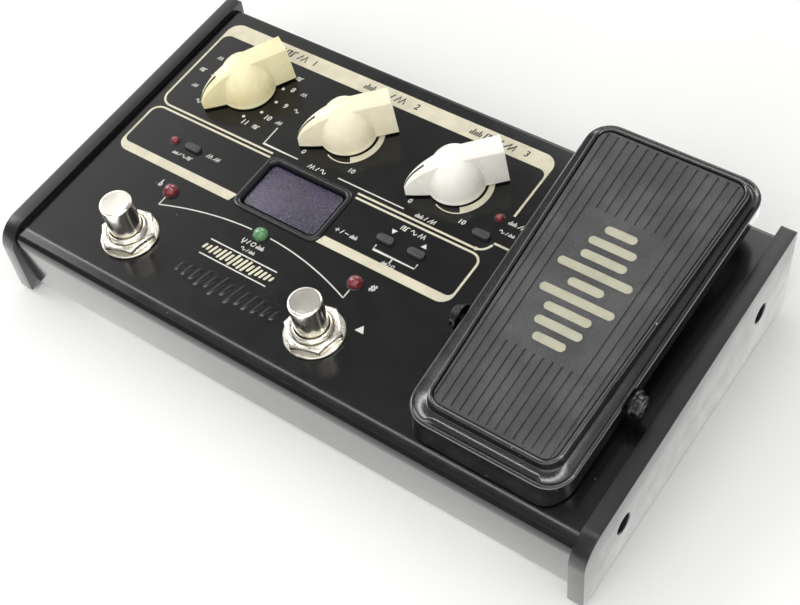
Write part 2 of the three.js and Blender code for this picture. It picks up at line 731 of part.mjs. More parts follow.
/** Cast tray: an outer lip, an inner rim around the mat, and a skirt that is open underneath. */
function treadleBody() {
  const t = TREADLE;
  const lipFoot = t.lipTop - t.lipThickness;
  const low = t.skirtAtHeel - 1;
  const tray = join([
    slab(treadlePlan(t.skirtInset), low, lipFoot + 0.2),
    slab(treadlePlan(0.4), lipFoot - 0.5, t.lipTop),
    slab(treadlePlan(0), lipFoot, t.lipTop - 0.6),
    slab(treadlePlan(t.rimInset, RIM), t.lipTop - 0.2, t.rimTop),
  ]);
  const underneath = new THREE.Shape();
  underneath.moveTo(t.heel - 5, low - 1).lineTo(t.toe + 5, low - 1);
  underneath.lineTo(t.toe + 5, t.skirtAtToe).lineTo(t.heel - 5, t.skirtAtHeel);
  return cut(tray, [
    sweepX(underneath, -40, 40),
    slab(treadlePlan(t.skirtInset + t.skirtWall), low - 2, t.lipTop - t.shelf),
    slab(treadlePlan(t.rimInset + t.rimWidth, RIM), low - 2, t.lipTop),
    slab(treadlePlan(t.rimInset + t.rimWidth, RIM), t.floorTop, t.rimTop + 1),
    rod(PIVOT.bore, -40, 40, 20),
  ]);
}

/** Rubber tread in the tray, ribbed lengthwise at heel and toe, plain in the middle. */
function treadleMat() {
  const t = TREADLE;
  const edge = t.rimInset + t.rimWidth + GAP;
  const top = t.rimTop - 0.3;
  const sheet = slab(treadlePlan(edge, RIM), t.floorTop + GAP / 2, top);
  const grooves = 13;
  const pitch = 3;
  const zones = [
    [RIM.heel + edge + 2, RIM.heel + edge + 28],
    [RIM.toe - edge - 28, RIM.toe - edge - 2],
  ];
  const cuts = zones.flatMap(([y0, y1]) =>
    Array.from({ length: grooves }, (_, i) => {
      const x = (i - (grooves - 1) / 2) * pitch;
      return boxBetween([x - 0.3, y0, top - 0.5], [x + 0.3, y1, top + 1]);
    }),
  );
  return cut(sheet, cuts);
}

/** Radial outline with trapezoid teeth, tooth centres at the given angles. */
function toothed(shape, centres, tipRadius, rootRadius, tipHalf, rootHalf) {
  for (const a of centres) {
    const corners = [
      [rootRadius, a - rootHalf],
      [tipRadius, a - tipHalf],
      [tipRadius, a + tipHalf],
      [rootRadius, a + rootHalf],
    ];
    for (const [r, angle] of corners) shape.lineTo(r * Math.cos(angle), r * Math.sin(angle));
  }
}

/** Arm on the axle that ends in a toothed arc below the deck, drawn in the YZ plane. */
function sectorGear() {
  const pitch = (2 * Math.PI) / GEAR.sectorTeeth;
  const down = -Math.PI / 2;
  const span = GEAR.cutTeeth;
  const centres = Array.from({ length: span + 1 }, (_, i) => down + (i - span / 2) * pitch);
  const hub = 3.3;
  const shape = new THREE.Shape();
  shape.moveTo(-hub, 0);
  toothed(
    shape,
    centres,
    SECTOR_RADIUS + GEAR.module,
    SECTOR_RADIUS - 1.3 * GEAR.module,
    pitch * 0.11,
    pitch * 0.24,
  );
  shape.lineTo(hub, 0);
  shape.absarc(0, 0, hub, 0, Math.PI);
  const arm = sweepX(shape, -GEAR.thickness / 2, GEAR.thickness / 2);
  return cut(arm, [rod(PIVOT.bore, -5, 5, 20)]);
}

function pinion() {
  const pitch = (2 * Math.PI) / GEAR.pinionTeeth;
  const centres = Array.from({ length: GEAR.pinionTeeth }, (_, i) => Math.PI / 2 + i * pitch);
  const root = PINION_RADIUS - 1.2 * GEAR.module;
  const shape = new THREE.Shape();
  const start = centres[0] - pitch / 2;
  shape.moveTo(root * Math.cos(start), root * Math.sin(start));
  toothed(shape, centres, PINION_RADIUS + GEAR.module * 0.9, root, pitch * 0.07, pitch * 0.22);
  const wheel = sweepX(shape, -2.2, 2.2);
  return join([wheel, rod(1.5, -3, 9.5, 16)]);
}

/** U-shaped bracket on the deck that holds the axle, with a slot for the sector. */
function pivotBracket() {
  const { bore, ear, earAt, earThickness, base, reach } = PIVOT;
  const surface = deckZ(TREADLE.pivotY) + 0.7 - TREADLE.pivotZ;
  const floor = boxBetween([-earAt, -reach, surface], [earAt, reach, surface + base]);
  const upright = new THREE.Shape();
  upright.moveTo(-reach, surface + 0.1).lineTo(reach, surface + 0.1).lineTo(ear, 0);
  upright.absarc(0, 0, ear, 0, Math.PI).lineTo(-reach, surface + 0.1);
  const ears = [-1, 1].map((sign) => {
    const outer = sign * earAt;
    const inner = outer - sign * earThickness;
    return sweepX(upright, Math.min(outer, inner), Math.max(outer, inner));
  });
  const slot = boxBetween([GEAR.x - 2.5, -7.5, surface - 1], [GEAR.x + 2.5, 7.5, surface + 5]);
  return cut(join([floor, ...ears]), [rod(bore, -30, 30, 20), slot]);
}

function pivotBolt(name, sign) {
  const skirt = 29;
  const { collar, collarThickness, head, headThickness } = BOLT;
  const bolt = turned([
    [0, -6],
    [1.7, -6],
    [1.7, 0],
    [collar, 0],
    [collar, collarThickness],
    [head, collarThickness],
    [head, collarThickness + headThickness * 0.5],
    [head * 0.6, collarThickness + headThickness],
    [0, collarThickness + headThickness],
  ], 18);
  const piece = mesh(name, bolt, FINISH.darkScrew);
  piece.rotation.y = (sign * Math.PI) / 2;
  piece.position.x = sign * skirt;
  return piece;
}

function expressionPot() {
  const axisZ = TREADLE.pivotZ - SECTOR_RADIUS - PINION_RADIUS;
  const foot = PLATE.bottom + PLATE.thickness + GAP;
  const can = boxBetween([3.4, -6, foot - axisZ], [11.4, 6, 6]);
  const pot = mesh('expression_potentiometer', cut(can, [rod(1.8, 0, 10, 16)]), FINISH.plastic);
  pot.position.set(TREADLE.x + GEAR.x, TREADLE.pivotY, axisZ);
  return pot;
}

function bumper(name, y, radius, height) {
  const piece = mesh(name, post(radius, GAP, height, 20), FINISH.rubber);
  standOnDeck(piece, TREADLE.x, y);
  return piece;
}

function addExpressionPedal() {
  treadleFrame.add(
    mesh('treadle', treadleBody(), FINISH.blackGloss),
    mesh('treadle_mat', treadleMat(), FINISH.mat),
    pivotBolt('pivot_bolt_left', -1),
    pivotBolt('pivot_bolt_right', 1),
  );
  const atPivot = new THREE.Group();
  atPivot.position.copy(treadleFrame.position);
  const sector = mesh('sector_gear', sectorGear(), FINISH.nylon);
  sector.position.x = GEAR.x;
  atPivot.add(
    mesh('pivot_axle', rod(PIVOT.axle, -22.6, 22.6, 20), FINISH.steel),
    mesh('pivot_bracket', pivotBracket(), FINISH.steel),
    sector,
  );
  const wheel = mesh('pot_pinion', pinion(), FINISH.nylon);
  wheel.position.set(
    TREADLE.x + GEAR.x,
    TREADLE.pivotY,
    TREADLE.pivotZ - SECTOR_RADIUS - PINION_RADIUS,
  );
  bumper('toe_bumper', 45, 5, 8.2);
  bumper('heel_bumper', -40, 4.5, 9.6);
  assembly.add(treadleFrame, atPivot, wheel, expressionPot());
}

addCase();
mainBoard();
addKnobs();
addFootswitches();
addDisplay();
addLamps();
addButtons();
addJacks();
addPowerSwitch();
addExpressionPedal();
assembly.add(batteryBox(), batteryDoor(), powerInlet(), deckFrame);

export default assembly;
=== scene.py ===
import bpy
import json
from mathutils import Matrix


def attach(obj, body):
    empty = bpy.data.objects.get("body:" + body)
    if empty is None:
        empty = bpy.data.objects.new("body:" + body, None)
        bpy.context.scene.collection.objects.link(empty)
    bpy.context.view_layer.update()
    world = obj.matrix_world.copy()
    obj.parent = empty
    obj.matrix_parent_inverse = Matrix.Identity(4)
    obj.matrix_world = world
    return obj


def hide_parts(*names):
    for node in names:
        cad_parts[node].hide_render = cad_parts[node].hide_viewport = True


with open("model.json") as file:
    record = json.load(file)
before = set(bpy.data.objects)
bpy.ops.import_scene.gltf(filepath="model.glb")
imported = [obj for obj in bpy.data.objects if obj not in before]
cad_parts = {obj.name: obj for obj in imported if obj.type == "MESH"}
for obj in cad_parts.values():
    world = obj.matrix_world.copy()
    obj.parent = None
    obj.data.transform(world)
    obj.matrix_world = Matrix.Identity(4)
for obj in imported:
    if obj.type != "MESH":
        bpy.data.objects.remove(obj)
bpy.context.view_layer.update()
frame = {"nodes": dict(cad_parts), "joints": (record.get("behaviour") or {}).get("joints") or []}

"""Looks of a multi-effects pedalboard with an expression pedal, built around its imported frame.

Shapes are drawn in millimetres in one of three frames (the row frame, the sloping deck or the treadle)
and placed into the row frame, in metres, when they are finished. Each sub-assembly is a class that holds
its sizes and builds, dresses and fastens its own pieces.
"""

import json
import logging
import math
from dataclasses import dataclass, field
from enum import Enum
from functools import partial
from typing import Iterable, Sequence

import bmesh
import bpy
from mathutils import Matrix, Vector

LOG = logging.getLogger("pedalboard")
MM = 0.001
DEG = math.pi / 180

Flat = tuple[float, float]
Colour = tuple[float, float, float]
Socket = bpy.types.NodeSocket
Thing = bpy.types.Object
Material = bpy.types.Material


# ---- places


@dataclass(frozen=True)
class Place:
    """A local frame in millimetres; its matrix takes a local point to metres in the row frame."""

    matrix: Matrix

    @classmethod
    def on_axes(cls, origin: Vector, normal: Vector) -> "Place":
        """A frame whose X is the row's X and whose Z is the given normal.

        Args:
            origin: where the frame's zero point is, in metres.
            normal: unit vector of the frame's Z, square to the row's X.

        Returns:
            The frame.
        """
        along = Vector((1, 0, 0))
        turned = Matrix((along, normal.cross(along), normal)).transposed().to_4x4()
        turned.translation = origin
        return cls(turned @ Matrix.Scale(MM, 4))

    def at(self, x: float, y: float, z: float = 0.0, turn: float = 0.0) -> "Place":
        """The same frame moved to (x, y, z) and turned about its own Z by turn, in radians."""
        step = Matrix.Translation((x, y, z)) @ Matrix.Rotation(turn, 4, "Z")
        return Place(self.matrix @ step)

    def facing(self, axis: str, angle: float) -> "Place":
        """The same frame turned about one of its own axes by an angle in radians."""
        return Place(self.matrix @ Matrix.Rotation(angle, 4, axis))

    def box(self, node: str) -> tuple[Vector, Vector]:
        """Lowest and highest corner of a CAD node, in this frame's millimetres."""
        back = self.matrix.inverted()
        points = [back @ v.co for v in frame["nodes"][node].data.vertices]
        low = Vector([min(p[i] for p in points) for i in range(3)])
        high = Vector([max(p[i] for p in points) for i in range(3)])
        return low, high

    def centre(self, node: str) -> tuple[float, float, float]:
        """The middle of a CAD node's box in this frame."""
        low, high = self.box(node)
        return tuple((low[i] + high[i]) / 2 for i in range(3))

    def middle(self, node: str) -> Flat:
        """The x and y of that middle."""
        return self.centre(node)[:2]


def joint(name: str) -> dict:
    """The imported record's joint of that name."""
    return next(j for j in frame["joints"] if j["name"] == name)


KNOB_SPOTS = {"selector": (-79.0, 30.4), "gain": (-34.2, 30.4), "level": (10.4, 30.4)}
TREADLE_TILT = 7.7 * DEG
LEVER_HALF_TRAVEL = 2.0


def deck_place() -> Place:
    """The painted top of the deck, worked out from the selector's joint, which stands square on it."""
    turn = joint("selector_turn")
    normal = Vector(turn["axis"]).normalized()
    x, y = KNOB_SPOTS["selector"]
    across = normal.cross(Vector((1, 0, 0)))
    origin = Vector(turn["pos_m"]) - Vector((x, 0, 0)) * MM - across * y * MM
    return Place.on_axes(origin, normal)


def treadle_place() -> Place:
    """The treadle's frame: its zero is the middle of the pivot axle, its Y points to the toe."""
    normal = Vector((0, -math.sin(TREADLE_TILT), math.cos(TREADLE_TILT)))
    return Place.on_axes(Vector(joint("treadle_rock")["pos_m"]), normal)


ROW = Place(Matrix.Scale(MM, 4))
DECK = deck_place()
TREADLE = treadle_place()


# ---- outlines and shapes


@dataclass
class Shape:
    """Points and faces in millimetres of a local frame, made of one or more closed skins."""

    points: list[Vector] = field(default_factory=list)
    faces: list[tuple[int, ...]] = field(default_factory=list)

    def add(self, other: "Shape") -> "Shape":
        """Takes another shape's points and faces in, and returns itself."""
        first = len(self.points)
        self.points += other.points
        self.faces += [tuple(i + first for i in face) for face in other.faces]
        return self

    def moved(self, matrix: Matrix) -> "Shape":
        """A copy with a matrix applied to each point."""
        return Shape([matrix @ p for p in self.points], list(self.faces))

    def shifted(self, x: float, y: float, z: float = 0.0) -> "Shape":
        """A copy moved by (x, y, z)."""
        return self.moved(Matrix.Translation((x, y, z)))


def gathered(shapes: Iterable[Shape]) -> Shape:
    """All the given shapes as one."""
    whole = Shape()
    for shape in shapes:
        whole.add(shape)
    return whole


def arc(x: float, y: float, radius: float, start: float, end: float, steps: int = 8) -> list[Flat]:
    """Points on a circular arc, both ends included; angles in degrees."""
    turns = [(start + (end - start) * i / steps) * DEG for i in range(steps + 1)]
    return [(x + radius * math.cos(a), y + radius * math.sin(a)) for a in turns]


def bend(a: Flat, b: Flat, c: Flat, steps: int = 8) -> list[Flat]:
    """Points on a quadratic curve from a to c that is pulled towards b, both ends included."""
    shares = [i / steps for i in range(steps + 1)]
    return [
        tuple((1 - t) ** 2 * a[k] + 2 * t * (1 - t) * b[k] + t * t * c[k] for k in (0, 1))
        for t in shares
    ]


def rounded(width: float, depth: float, radius: float, steps: int = 8) -> list[Flat]:
    """A rectangle with round corners about the zero point, anticlockwise."""
    w, d = width / 2 - radius, depth / 2 - radius
    corners = [(w, d, 0), (-w, d, 90), (-w, -d, 180), (w, -d, 270)]
    return [p for x, y, a in corners for p in arc(x, y, radius, a, a + 90, steps)]


def loft(rings: Sequence[Sequence[Vector]], looped: bool = False) -> Shape:
    """A closed skin over rings that have the same number of points.

    Args:
        rings: the rings in order.
        looped: True joins the last ring to the first; otherwise both ends get a flat face.

    Returns:
        The skin.
    """
    count = len(rings[0])
    points = [Vector(p) for ring in rings for p in ring]
    faces = []
    for i in range(len(rings) - (0 if looped else 1)):
        a, b = i * count, (i + 1) % len(rings) * count
        faces += [(a + j, a + (j + 1) % count, b + (j + 1) % count, b + j) for j in range(count)]
    if not looped:
        faces += [tuple(range(count))[::-1], tuple(range((len(rings) - 1) * count, len(rings) * count))]
    return Shape(points, faces)


def level(outline: Sequence[Flat], z: float) -> list[Vector]:
    """A flat outline at a height."""
    return [Vector((x, y, z)) for x, y in outline]


def prism(outline: Sequence[Flat], low: float, high: float) -> Shape:
    """A flat outline raised from one height to another."""
    return loft([level(outline, z) for z in (low, high)])


def hexagon(across_flats: float) -> list[Flat]:
    """A regular hexagon with a corner on X."""
    corner = across_flats / math.sqrt(3)
    return [(corner * math.cos(i * math.pi / 3), corner * math.sin(i * math.pi / 3)) for i in range(6)]


def crossing(outline: Sequence[Flat], x0: float, x1: float) -> Shape:
    """An outline drawn as (y, z), swept along X from x0 to x1."""
    return loft([[Vector((x, y, z)) for y, z in outline] for x in (x0, x1)])


def lathe(profile: Sequence[Flat], sides: int = 48) -> Shape:
    """A turned skin about Z from (radius, z) pairs that start and end on the axis."""
    middle = profile[1:-1]
    turns = [i * math.tau / sides for i in range(sides)]
    rings = [[Vector((r * math.cos(a), r * math.sin(a), z)) for a in turns] for r, z in middle]
    skin = loft(rings)
    skin.faces = skin.faces[:-2]
    for at, (_, z), back in ((0, profile[0], True), (len(middle) - 1, profile[-1], False)):
        skin.points.append(Vector((0, 0, z)))
        tip, first = len(skin.points) - 1, at * sides
        for j in range(sides):
            edge = (first + j, first + (j + 1) % sides)
            skin.faces.append((tip, *(edge[::-1] if back else edge)))
    return skin


def ring(profile: Sequence[Flat], sides: int = 48) -> Shape:
    """A turned ring about Z from (radius, z) pairs that close on themselves."""
    turns = [i * math.tau / sides for i in range(sides)]
    rings = [[Vector((r * math.cos(a), r * math.sin(a), z)) for r, z in profile] for a in turns]
    return loft(rings, looped=True)


def block(low: Sequence[float], high: Sequence[float]) -> Shape:
    """A box between two corners, used as a tool or as the start of a bevelled piece."""
    outline = [(low[0], low[1]), (high[0], low[1]), (high[0], high[1]), (low[0], high[1])]
    return prism(outline, low[2], high[2])


def round_bar(radius: float, low: float, high: float, sides: int = 40) -> Shape:
    """A cylinder on Z between two heights, used as a drill."""
    return prism(arc(0, 0, radius, 0, 360 - 360 / sides, sides - 1), low, high)


def stroke(path: Sequence[Flat], width: float, low: float, high: float) -> Shape:
    """A line of even width along a path in XY, with square ends.

    Args:
        path: the points of its middle line.
        width: how wide it is.
        low: the height of its underside.
        high: the height of its top.

    Returns:
        The closed strip.
    """
    rings = []
    for i, (x, y) in enumerate(path):
        (x0, y0), (x1, y1) = path[max(i - 1, 0)], path[min(i + 1, len(path) - 1)]
        run = Vector((x1 - x0, y1 - y0)).normalized()
        reach = width / 2
        if 0 < i < len(path) - 1:
            leg = Vector((x - x0, y - y0)).normalized()
            reach /= max(0.5, leg.dot(run))
        side = Vector((-run.y, run.x)) * reach
        left, right = (x + side.x, y + side.y), (x - side.x, y - side.y)
        rings.append(
            [Vector((*left, high)), Vector((*left, low)), Vector((*right, low)), Vector((*right, high))]
        )
    return loft(rings)


# ---- mesh work


def linked(name: str, data: bpy.types.ID) -> Thing:
    """A new object in the scene that holds that data."""
    thing = bpy.data.objects.new(name, data)
    bpy.context.scene.collection.objects.link(thing)
    return thing


def made(name: str, shape: Shape) -> Thing:
    """A mesh object in local millimetres, its faces turned outwards."""
    mesh = bpy.data.meshes.new(name)
    mesh.from_pydata(shape.points, [], shape.faces)
    work = bmesh.new()
    work.from_mesh(mesh)
    bmesh.ops.recalc_face_normals(work, faces=work.faces)
    work.to_mesh(mesh)
    work.free()
    return linked(name, mesh)


def settled(thing: Thing) -> Thing:
    """Turns an object's modifiers into its plain mesh, and returns it."""
    graph = bpy.context.evaluated_depsgraph_get()
    mesh = bpy.data.meshes.new_from_object(thing.evaluated_get(graph), depsgraph=graph)
    thing.modifiers.clear()
    thing.data = mesh
    return thing


def eased(thing: Thing, width: float, segments: int = 2, angle: float = 30.0) -> Thing:
    """Rounds the edges that are sharper than an angle in degrees, by a width in millimetres."""
    bevel = thing.modifiers.new("ease", "BEVEL")
    bevel.width = width
    bevel.segments = segments
    bevel.limit_method = "ANGLE"
    bevel.angle_limit = angle * DEG
    bevel.harden_normals = False
    bevel.use_clamp_overlap = True
    return settled(thing)


class Work(Enum):
    """What a tool does to the piece that it meets."""

    CUT = "DIFFERENCE"
    JOIN = "UNION"
    KEEP = "INTERSECT"


def worked(thing: Thing, tool: Shape | Thing, work: Work = Work.CUT) -> Thing:
    """Cuts, joins or trims a piece with a tool shape, which is used up.

    Args:
        thing: the piece, in local millimetres.
        tool: a shape or another object in the same millimetres.
        work: what the tool does.

    Returns:
        The piece.
    """
    other = made("tool", tool) if isinstance(tool, Shape) else tool
    boolean = thing.modifiers.new("work", "BOOLEAN")
    boolean.operation = work.value
    boolean.solver = "EXACT"
    boolean.object = other
    settled(thing)
    bpy.data.objects.remove(other)
    return thing


def fitted(
    thing: Thing,
    place: Place,
    finish: Material,
    body: str,
    slot: str,
    replaces: Sequence[str] = (),
    crease: float = 32.0,
) -> Thing:
    """Puts a finished piece in its place, dresses it and fastens it to a body.

    Args:
        thing: the piece, in local millimetres, with no modifiers left.
        place: the frame that it was drawn in.
        finish: its material.
        body: the CAD body it rides on.
        slot: the record's material slot; not used.
        replaces: the CAD nodes it stands for.
        crease: angle in degrees past which an edge shades sharp.

    Returns:
        The piece.
    """
    mesh = thing.data
    mesh.transform(place.matrix)
    mesh.materials.clear()
    mesh.materials.append(finish)
    mesh.polygons.foreach_set("material_index", [0] * len(mesh.polygons))
    mesh.shade_smooth()
    mesh.set_sharp_from_angle(angle=crease * DEG)
    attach(thing, body)
    if replaces:
        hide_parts(*replaces)
    LOG.info("%s: %d faces, on %s", thing.name, len(mesh.polygons), body)
    return thing


# ---- repeated shapes


def wired(tree: bpy.types.NodeTree, kind: str, values: dict, **traits: object) -> bpy.types.Node:
    """Adds a node to a tree.

    Args:
        tree: the tree.
        kind: the node's type.
        values: by socket; a value that is a socket is linked, any other is set on the node's own socket.
        traits: the node's own properties.

    Returns:
        The node.
    """
    node = tree.nodes.new(kind)
    for label, trait in traits.items():
        setattr(node, label, trait)
    for key, value in values.items():
        if isinstance(value, Socket):
            tree.links.new(value, node.inputs[key])
        else:
            node.inputs[key].default_value = value
    return node


class Tree:
    """A Geometry Nodes tree that is being put together in code."""

    def __init__(self, name: str, sizes: dict[str, float]) -> None:
        """Starts a tree with named inputs.

        Args:
            name: the tree's name.
            sizes: its number inputs and their usual values; a whole number makes a whole-number input.
        """
        self.group = bpy.data.node_groups.new(name, "GeometryNodeTree")
        face = self.group.interface
        face.new_socket("Blank", in_out="INPUT", socket_type="NodeSocketGeometry")
        face.new_socket("Made", in_out="OUTPUT", socket_type="NodeSocketGeometry")
        for label, value in sizes.items():
            kind = "NodeSocketInt" if isinstance(value, int) else "NodeSocketFloat"
            face.new_socket(label, in_out="INPUT", socket_type=kind).default_value = value
        face.new_socket("Finish", in_out="INPUT", socket_type="NodeSocketMaterial")
        self.given = self.group.nodes.new("NodeGroupInput").outputs

    def add(self, kind: str, values: dict | None = None, **traits: object) -> bpy.types.Node:
        """Adds a node to this tree."""
        return wired(self.group, kind, values or {}, **traits)

    def sum(self, operation: str, a: Socket | float, b: Socket | float = 0.0, c: float = 0.0) -> Socket:
        """The result of a Math node."""
        return self.add("ShaderNodeMath", {0: a, 1: b, 2: c}, operation=operation).outputs[0]

    def vector(self, x: Socket | float, y: Socket | float, z: Socket | float) -> Socket:
        """Three numbers as a vector."""
        return self.add("ShaderNodeCombineXYZ", {0: x, 1: y, 2: z}).outputs[0]

    def row(self, count: Socket, pitch: Socket) -> Socket:
        """Points at a pitch along X, centred on the zero point."""
        first = self.sum("MULTIPLY", self.sum("SUBTRACT", count, 1.0), self.sum("MULTIPLY", pitch, -0.5))
        values = {
            "Count": count,
            "Start Location": self.vector(first, 0.0, 0.0),
            "Offset": self.vector(pitch, 0.0, 0.0),
        }
        return self.add("GeometryNodeMeshLine", values).outputs["Mesh"]

    def closed(self, geometry: Socket) -> bpy.types.NodeTree:
        """Ends the tree: makes instances real, gives them their finish and returns the tree."""
        real = self.add("GeometryNodeRealizeInstances", {"Geometry": geometry}).outputs[0]
        dressed = self.add("GeometryNodeSetMaterial", {"Geometry": real, "Material": self.given["Finish"]})
        self.add("NodeGroupOutput", {"Made": dressed.outputs[0]})
        return self.group


def bar_row_tree() -> bpy.types.NodeTree:
    """A row of equal bars along X, each Length long on Y; for grooves, grips and gratings."""
    tree = Tree("bar_row", {"Count": 8, "Pitch": 3.0, "Length": 20.0, "Width": 0.6, "Height": 1.0})
    size = tree.vector(tree.given["Width"], tree.given["Length"], tree.given["Height"])
    bar = tree.add("GeometryNodeMeshCube", {"Size": size}).outputs["Mesh"]
    points = tree.row(tree.given["Count"], tree.given["Pitch"])
    return tree.closed(
        tree.add("GeometryNodeInstanceOnPoints", {"Points": points, "Instance": bar}).outputs[0]
    )


def sound_wave_tree() -> bpy.types.NodeTree:
    """Round-ended bars along X whose lengths swell and fall like a recorded sound."""
    sizes = {"Bars": 9, "Pitch": 4.6, "Width": 2.4, "Reach": 9.0, "Shortest": 1.2}
    tree = Tree("sound_wave", {**sizes, "Thickness": 0.12, "Lean": 0.0, "Swing": 1.9})
    given = tree.given
    index = tree.add("GeometryNodeInputIndex").outputs[0]
    ripple = tree.sum("ABSOLUTE", tree.sum("SINE", tree.sum("MULTIPLY_ADD", index, given["Swing"], 0.9)))
    along = tree.sum("DIVIDE", tree.sum("ADD", index, 1.0), tree.sum("ADD", given["Bars"], 1.0))
    swell = tree.sum("SINE", tree.sum("MULTIPLY", along, math.pi))
    loud = tree.sum("MULTIPLY", tree.sum("MULTIPLY_ADD", ripple, 0.7, 0.3), swell)
    reach = tree.sum("ADD", given["Shortest"], tree.sum("MULTIPLY", loud, given["Reach"]))
    stored = tree.add(
        "GeometryNodeStoreNamedAttribute",
        {"Geometry": tree.row(given["Bars"], given["Pitch"]), "Name": "reach", "Value": reach},
        data_type="FLOAT",
        domain="POINT",
    )
    radius = tree.sum("MULTIPLY", given["Width"], 0.5)
    pill = tree.add(
        "GeometryNodeMeshCylinder", {"Vertices": 20, "Radius": radius, "Depth": given["Thickness"]}
    )
    placed = tree.add(
        "GeometryNodeInstanceOnPoints", {"Points": stored.outputs[0], "Instance": pill.outputs["Mesh"]}
    )
    real = tree.add("GeometryNodeRealizeInstances", {"Geometry": placed.outputs[0]}).outputs[0]
    own = tree.add(
        "GeometryNodeInputNamedAttribute", {"Name": "reach"}, data_type="FLOAT"
    ).outputs["Attribute"]
    spot = tree.add("ShaderNodeSeparateXYZ", {0: tree.add("GeometryNodeInputPosition").outputs[0]}).outputs
    push = tree.sum("MULTIPLY", tree.sum("SIGN", tree.sum("SNAP", spot[1], 0.01)), own)
    slant = tree.sum("MULTIPLY", tree.sum("ADD", spot[1], push), given["Lean"])
    stretched = tree.add(
        "GeometryNodeSetPosition", {"Geometry": real, "Offset": tree.vector(slant, push, 0.0)}
    )
    return tree.closed(stretched.outputs[0])


def dial_marks_tree() -> bpy.types.NodeTree:
    """Dots at equal steps round part of a circle; angles in degrees, clockwise from First."""
    sizes = {"Count": 11, "Radius": 12.3, "First": 240.0, "Step": 30.0, "Size": 0.55, "Thickness": 0.05}
    tree = Tree("dial_marks", sizes)
    given = tree.given
    index = tree.add("GeometryNodeInputIndex").outputs[0]
    turn = tree.sum("SUBTRACT", given["First"], tree.sum("MULTIPLY", index, given["Step"]))
    angle = tree.sum("RADIANS", turn)
    x = tree.sum("MULTIPLY", given["Radius"], tree.sum("COSINE", angle))
    y = tree.sum("MULTIPLY", given["Radius"], tree.sum("SINE", angle))
    line = tree.add("GeometryNodeMeshLine", {"Count": given["Count"]}).outputs[0]
    points = tree.add("GeometryNodeSetPosition", {"Geometry": line, "Position": tree.vector(x, y, 0.0)})
    dot = tree.add(
        "GeometryNodeMeshCylinder", {"Vertices": 20, "Radius": given["Size"], "Depth": given["Thickness"]}
    )
    placed = tree.add(
        "GeometryNodeInstanceOnPoints", {"Points": points.outputs[0], "Instance": dot.outputs["Mesh"]}
    )
    return tree.closed(placed.outputs[0])


def thread_tree() -> bpy.types.NodeTree:
    """Presses a screw thread into the outside of a turned blank, between two heights."""
    sizes = {"Radius": 6.5, "Depth": 0.3, "Pitch": 0.75, "From": 0.0, "To": 5.0}
    tree = Tree("thread", sizes)
    given = tree.given
    x, y, z = tree.add("ShaderNodeSeparateXYZ", {0: tree.add("GeometryNodeInputPosition").outputs[0]}).outputs
    out = tree.sum("SQRT", tree.sum("ADD", tree.sum("MULTIPLY", x, x), tree.sum("MULTIPLY", y, y)))
    lead = tree.sum("DIVIDE", tree.sum("ARCTAN2", y, x), math.tau)
    climb = tree.sum("SUBTRACT", tree.sum("DIVIDE", z, given["Pitch"]), lead)
    groove = tree.sum("MULTIPLY", tree.sum("PINGPONG", climb, 0.5), 2.0)
    on_skin = tree.sum("GREATER_THAN", out, tree.sum("SUBTRACT", given["Radius"], 0.02))
    above = tree.sum("GREATER_THAN", z, given["From"])
    below = tree.sum("LESS_THAN", z, given["To"])
    where = tree.sum("MULTIPLY", on_skin, tree.sum("MULTIPLY", above, below))
    sink = tree.sum(
        "MULTIPLY", tree.sum("MULTIPLY", groove, where), tree.sum("MULTIPLY", given["Depth"], -1.0)
    )
    share = tree.sum("DIVIDE", sink, tree.sum("MAXIMUM", out, 0.001))
    offset = tree.vector(tree.sum("MULTIPLY", x, share), tree.sum("MULTIPLY", y, share), 0.0)
    cut = tree.add("GeometryNodeSetPosition", {"Geometry": given["Blank"], "Offset": offset})
    return tree.closed(cut.outputs[0])


def cross_recess_tree() -> bpy.types.NodeTree:
    """Sinks a cross-shaped driver recess into the top of a screw blank."""
    tree = Tree("cross_recess", {"Top": 2.1, "Length": 3.6, "Width": 0.8, "Depth": 1.1})
    given = tree.given
    size = tree.vector(given["Length"], given["Width"], tree.sum("MULTIPLY", given["Depth"], 2.0))
    wing = tree.add("GeometryNodeMeshCube", {"Size": size}).outputs["Mesh"]
    quarter = (0.0, 0.0, math.pi / 2)
    across = tree.add("GeometryNodeTransform", {"Geometry": wing, "Rotation": quarter}).outputs[0]
    both = tree.add("GeometryNodeMeshBoolean", operation="UNION", solver="EXACT")
    for each in (wing, across):
        tree.group.links.new(each, both.inputs["Mesh 2"])
    tool = tree.add(
        "GeometryNodeTransform",
        {"Geometry": both.outputs[0], "Translation": tree.vector(0.0, 0.0, given["Top"])},
    )
    sunk = tree.add(
        "GeometryNodeMeshBoolean", {"Mesh 1": given["Blank"]}, operation="DIFFERENCE", solver="EXACT"
    )
    tree.group.links.new(tool.outputs[0], sunk.inputs["Mesh 2"])
    return tree.closed(sunk.outputs[0])


def grown(thing: Thing, tree: bpy.types.NodeTree, finish: Material, **sizes: float) -> Thing:
    """Runs a tree on an object and keeps the plain mesh that it makes.

    Args:
        thing: the blank; an empty mesh where the tree makes the whole shape.
        tree: one of the trees above.
        finish: the material that the tree sets.
        sizes: values of the tree's named inputs.

    Returns:
        The object.
    """
    modifier = thing.modifiers.new(tree.name, "NODES")
    modifier.node_group = tree
    values = {**sizes, "Finish": finish}
    for item in tree.interface.items_tree:
        if item.in_out == "INPUT" and item.name in values:
            modifier[item.identifier] = values[item.name]
    return settled(thing)


def shape_of(thing: Thing) -> Shape:
    """An object's mesh as a shape; the object is removed."""
    shape = Shape(
        [v.co.copy() for v in thing.data.vertices], [tuple(p.vertices) for p in thing.data.polygons]
    )
    bpy.data.objects.remove(thing)
    return shape


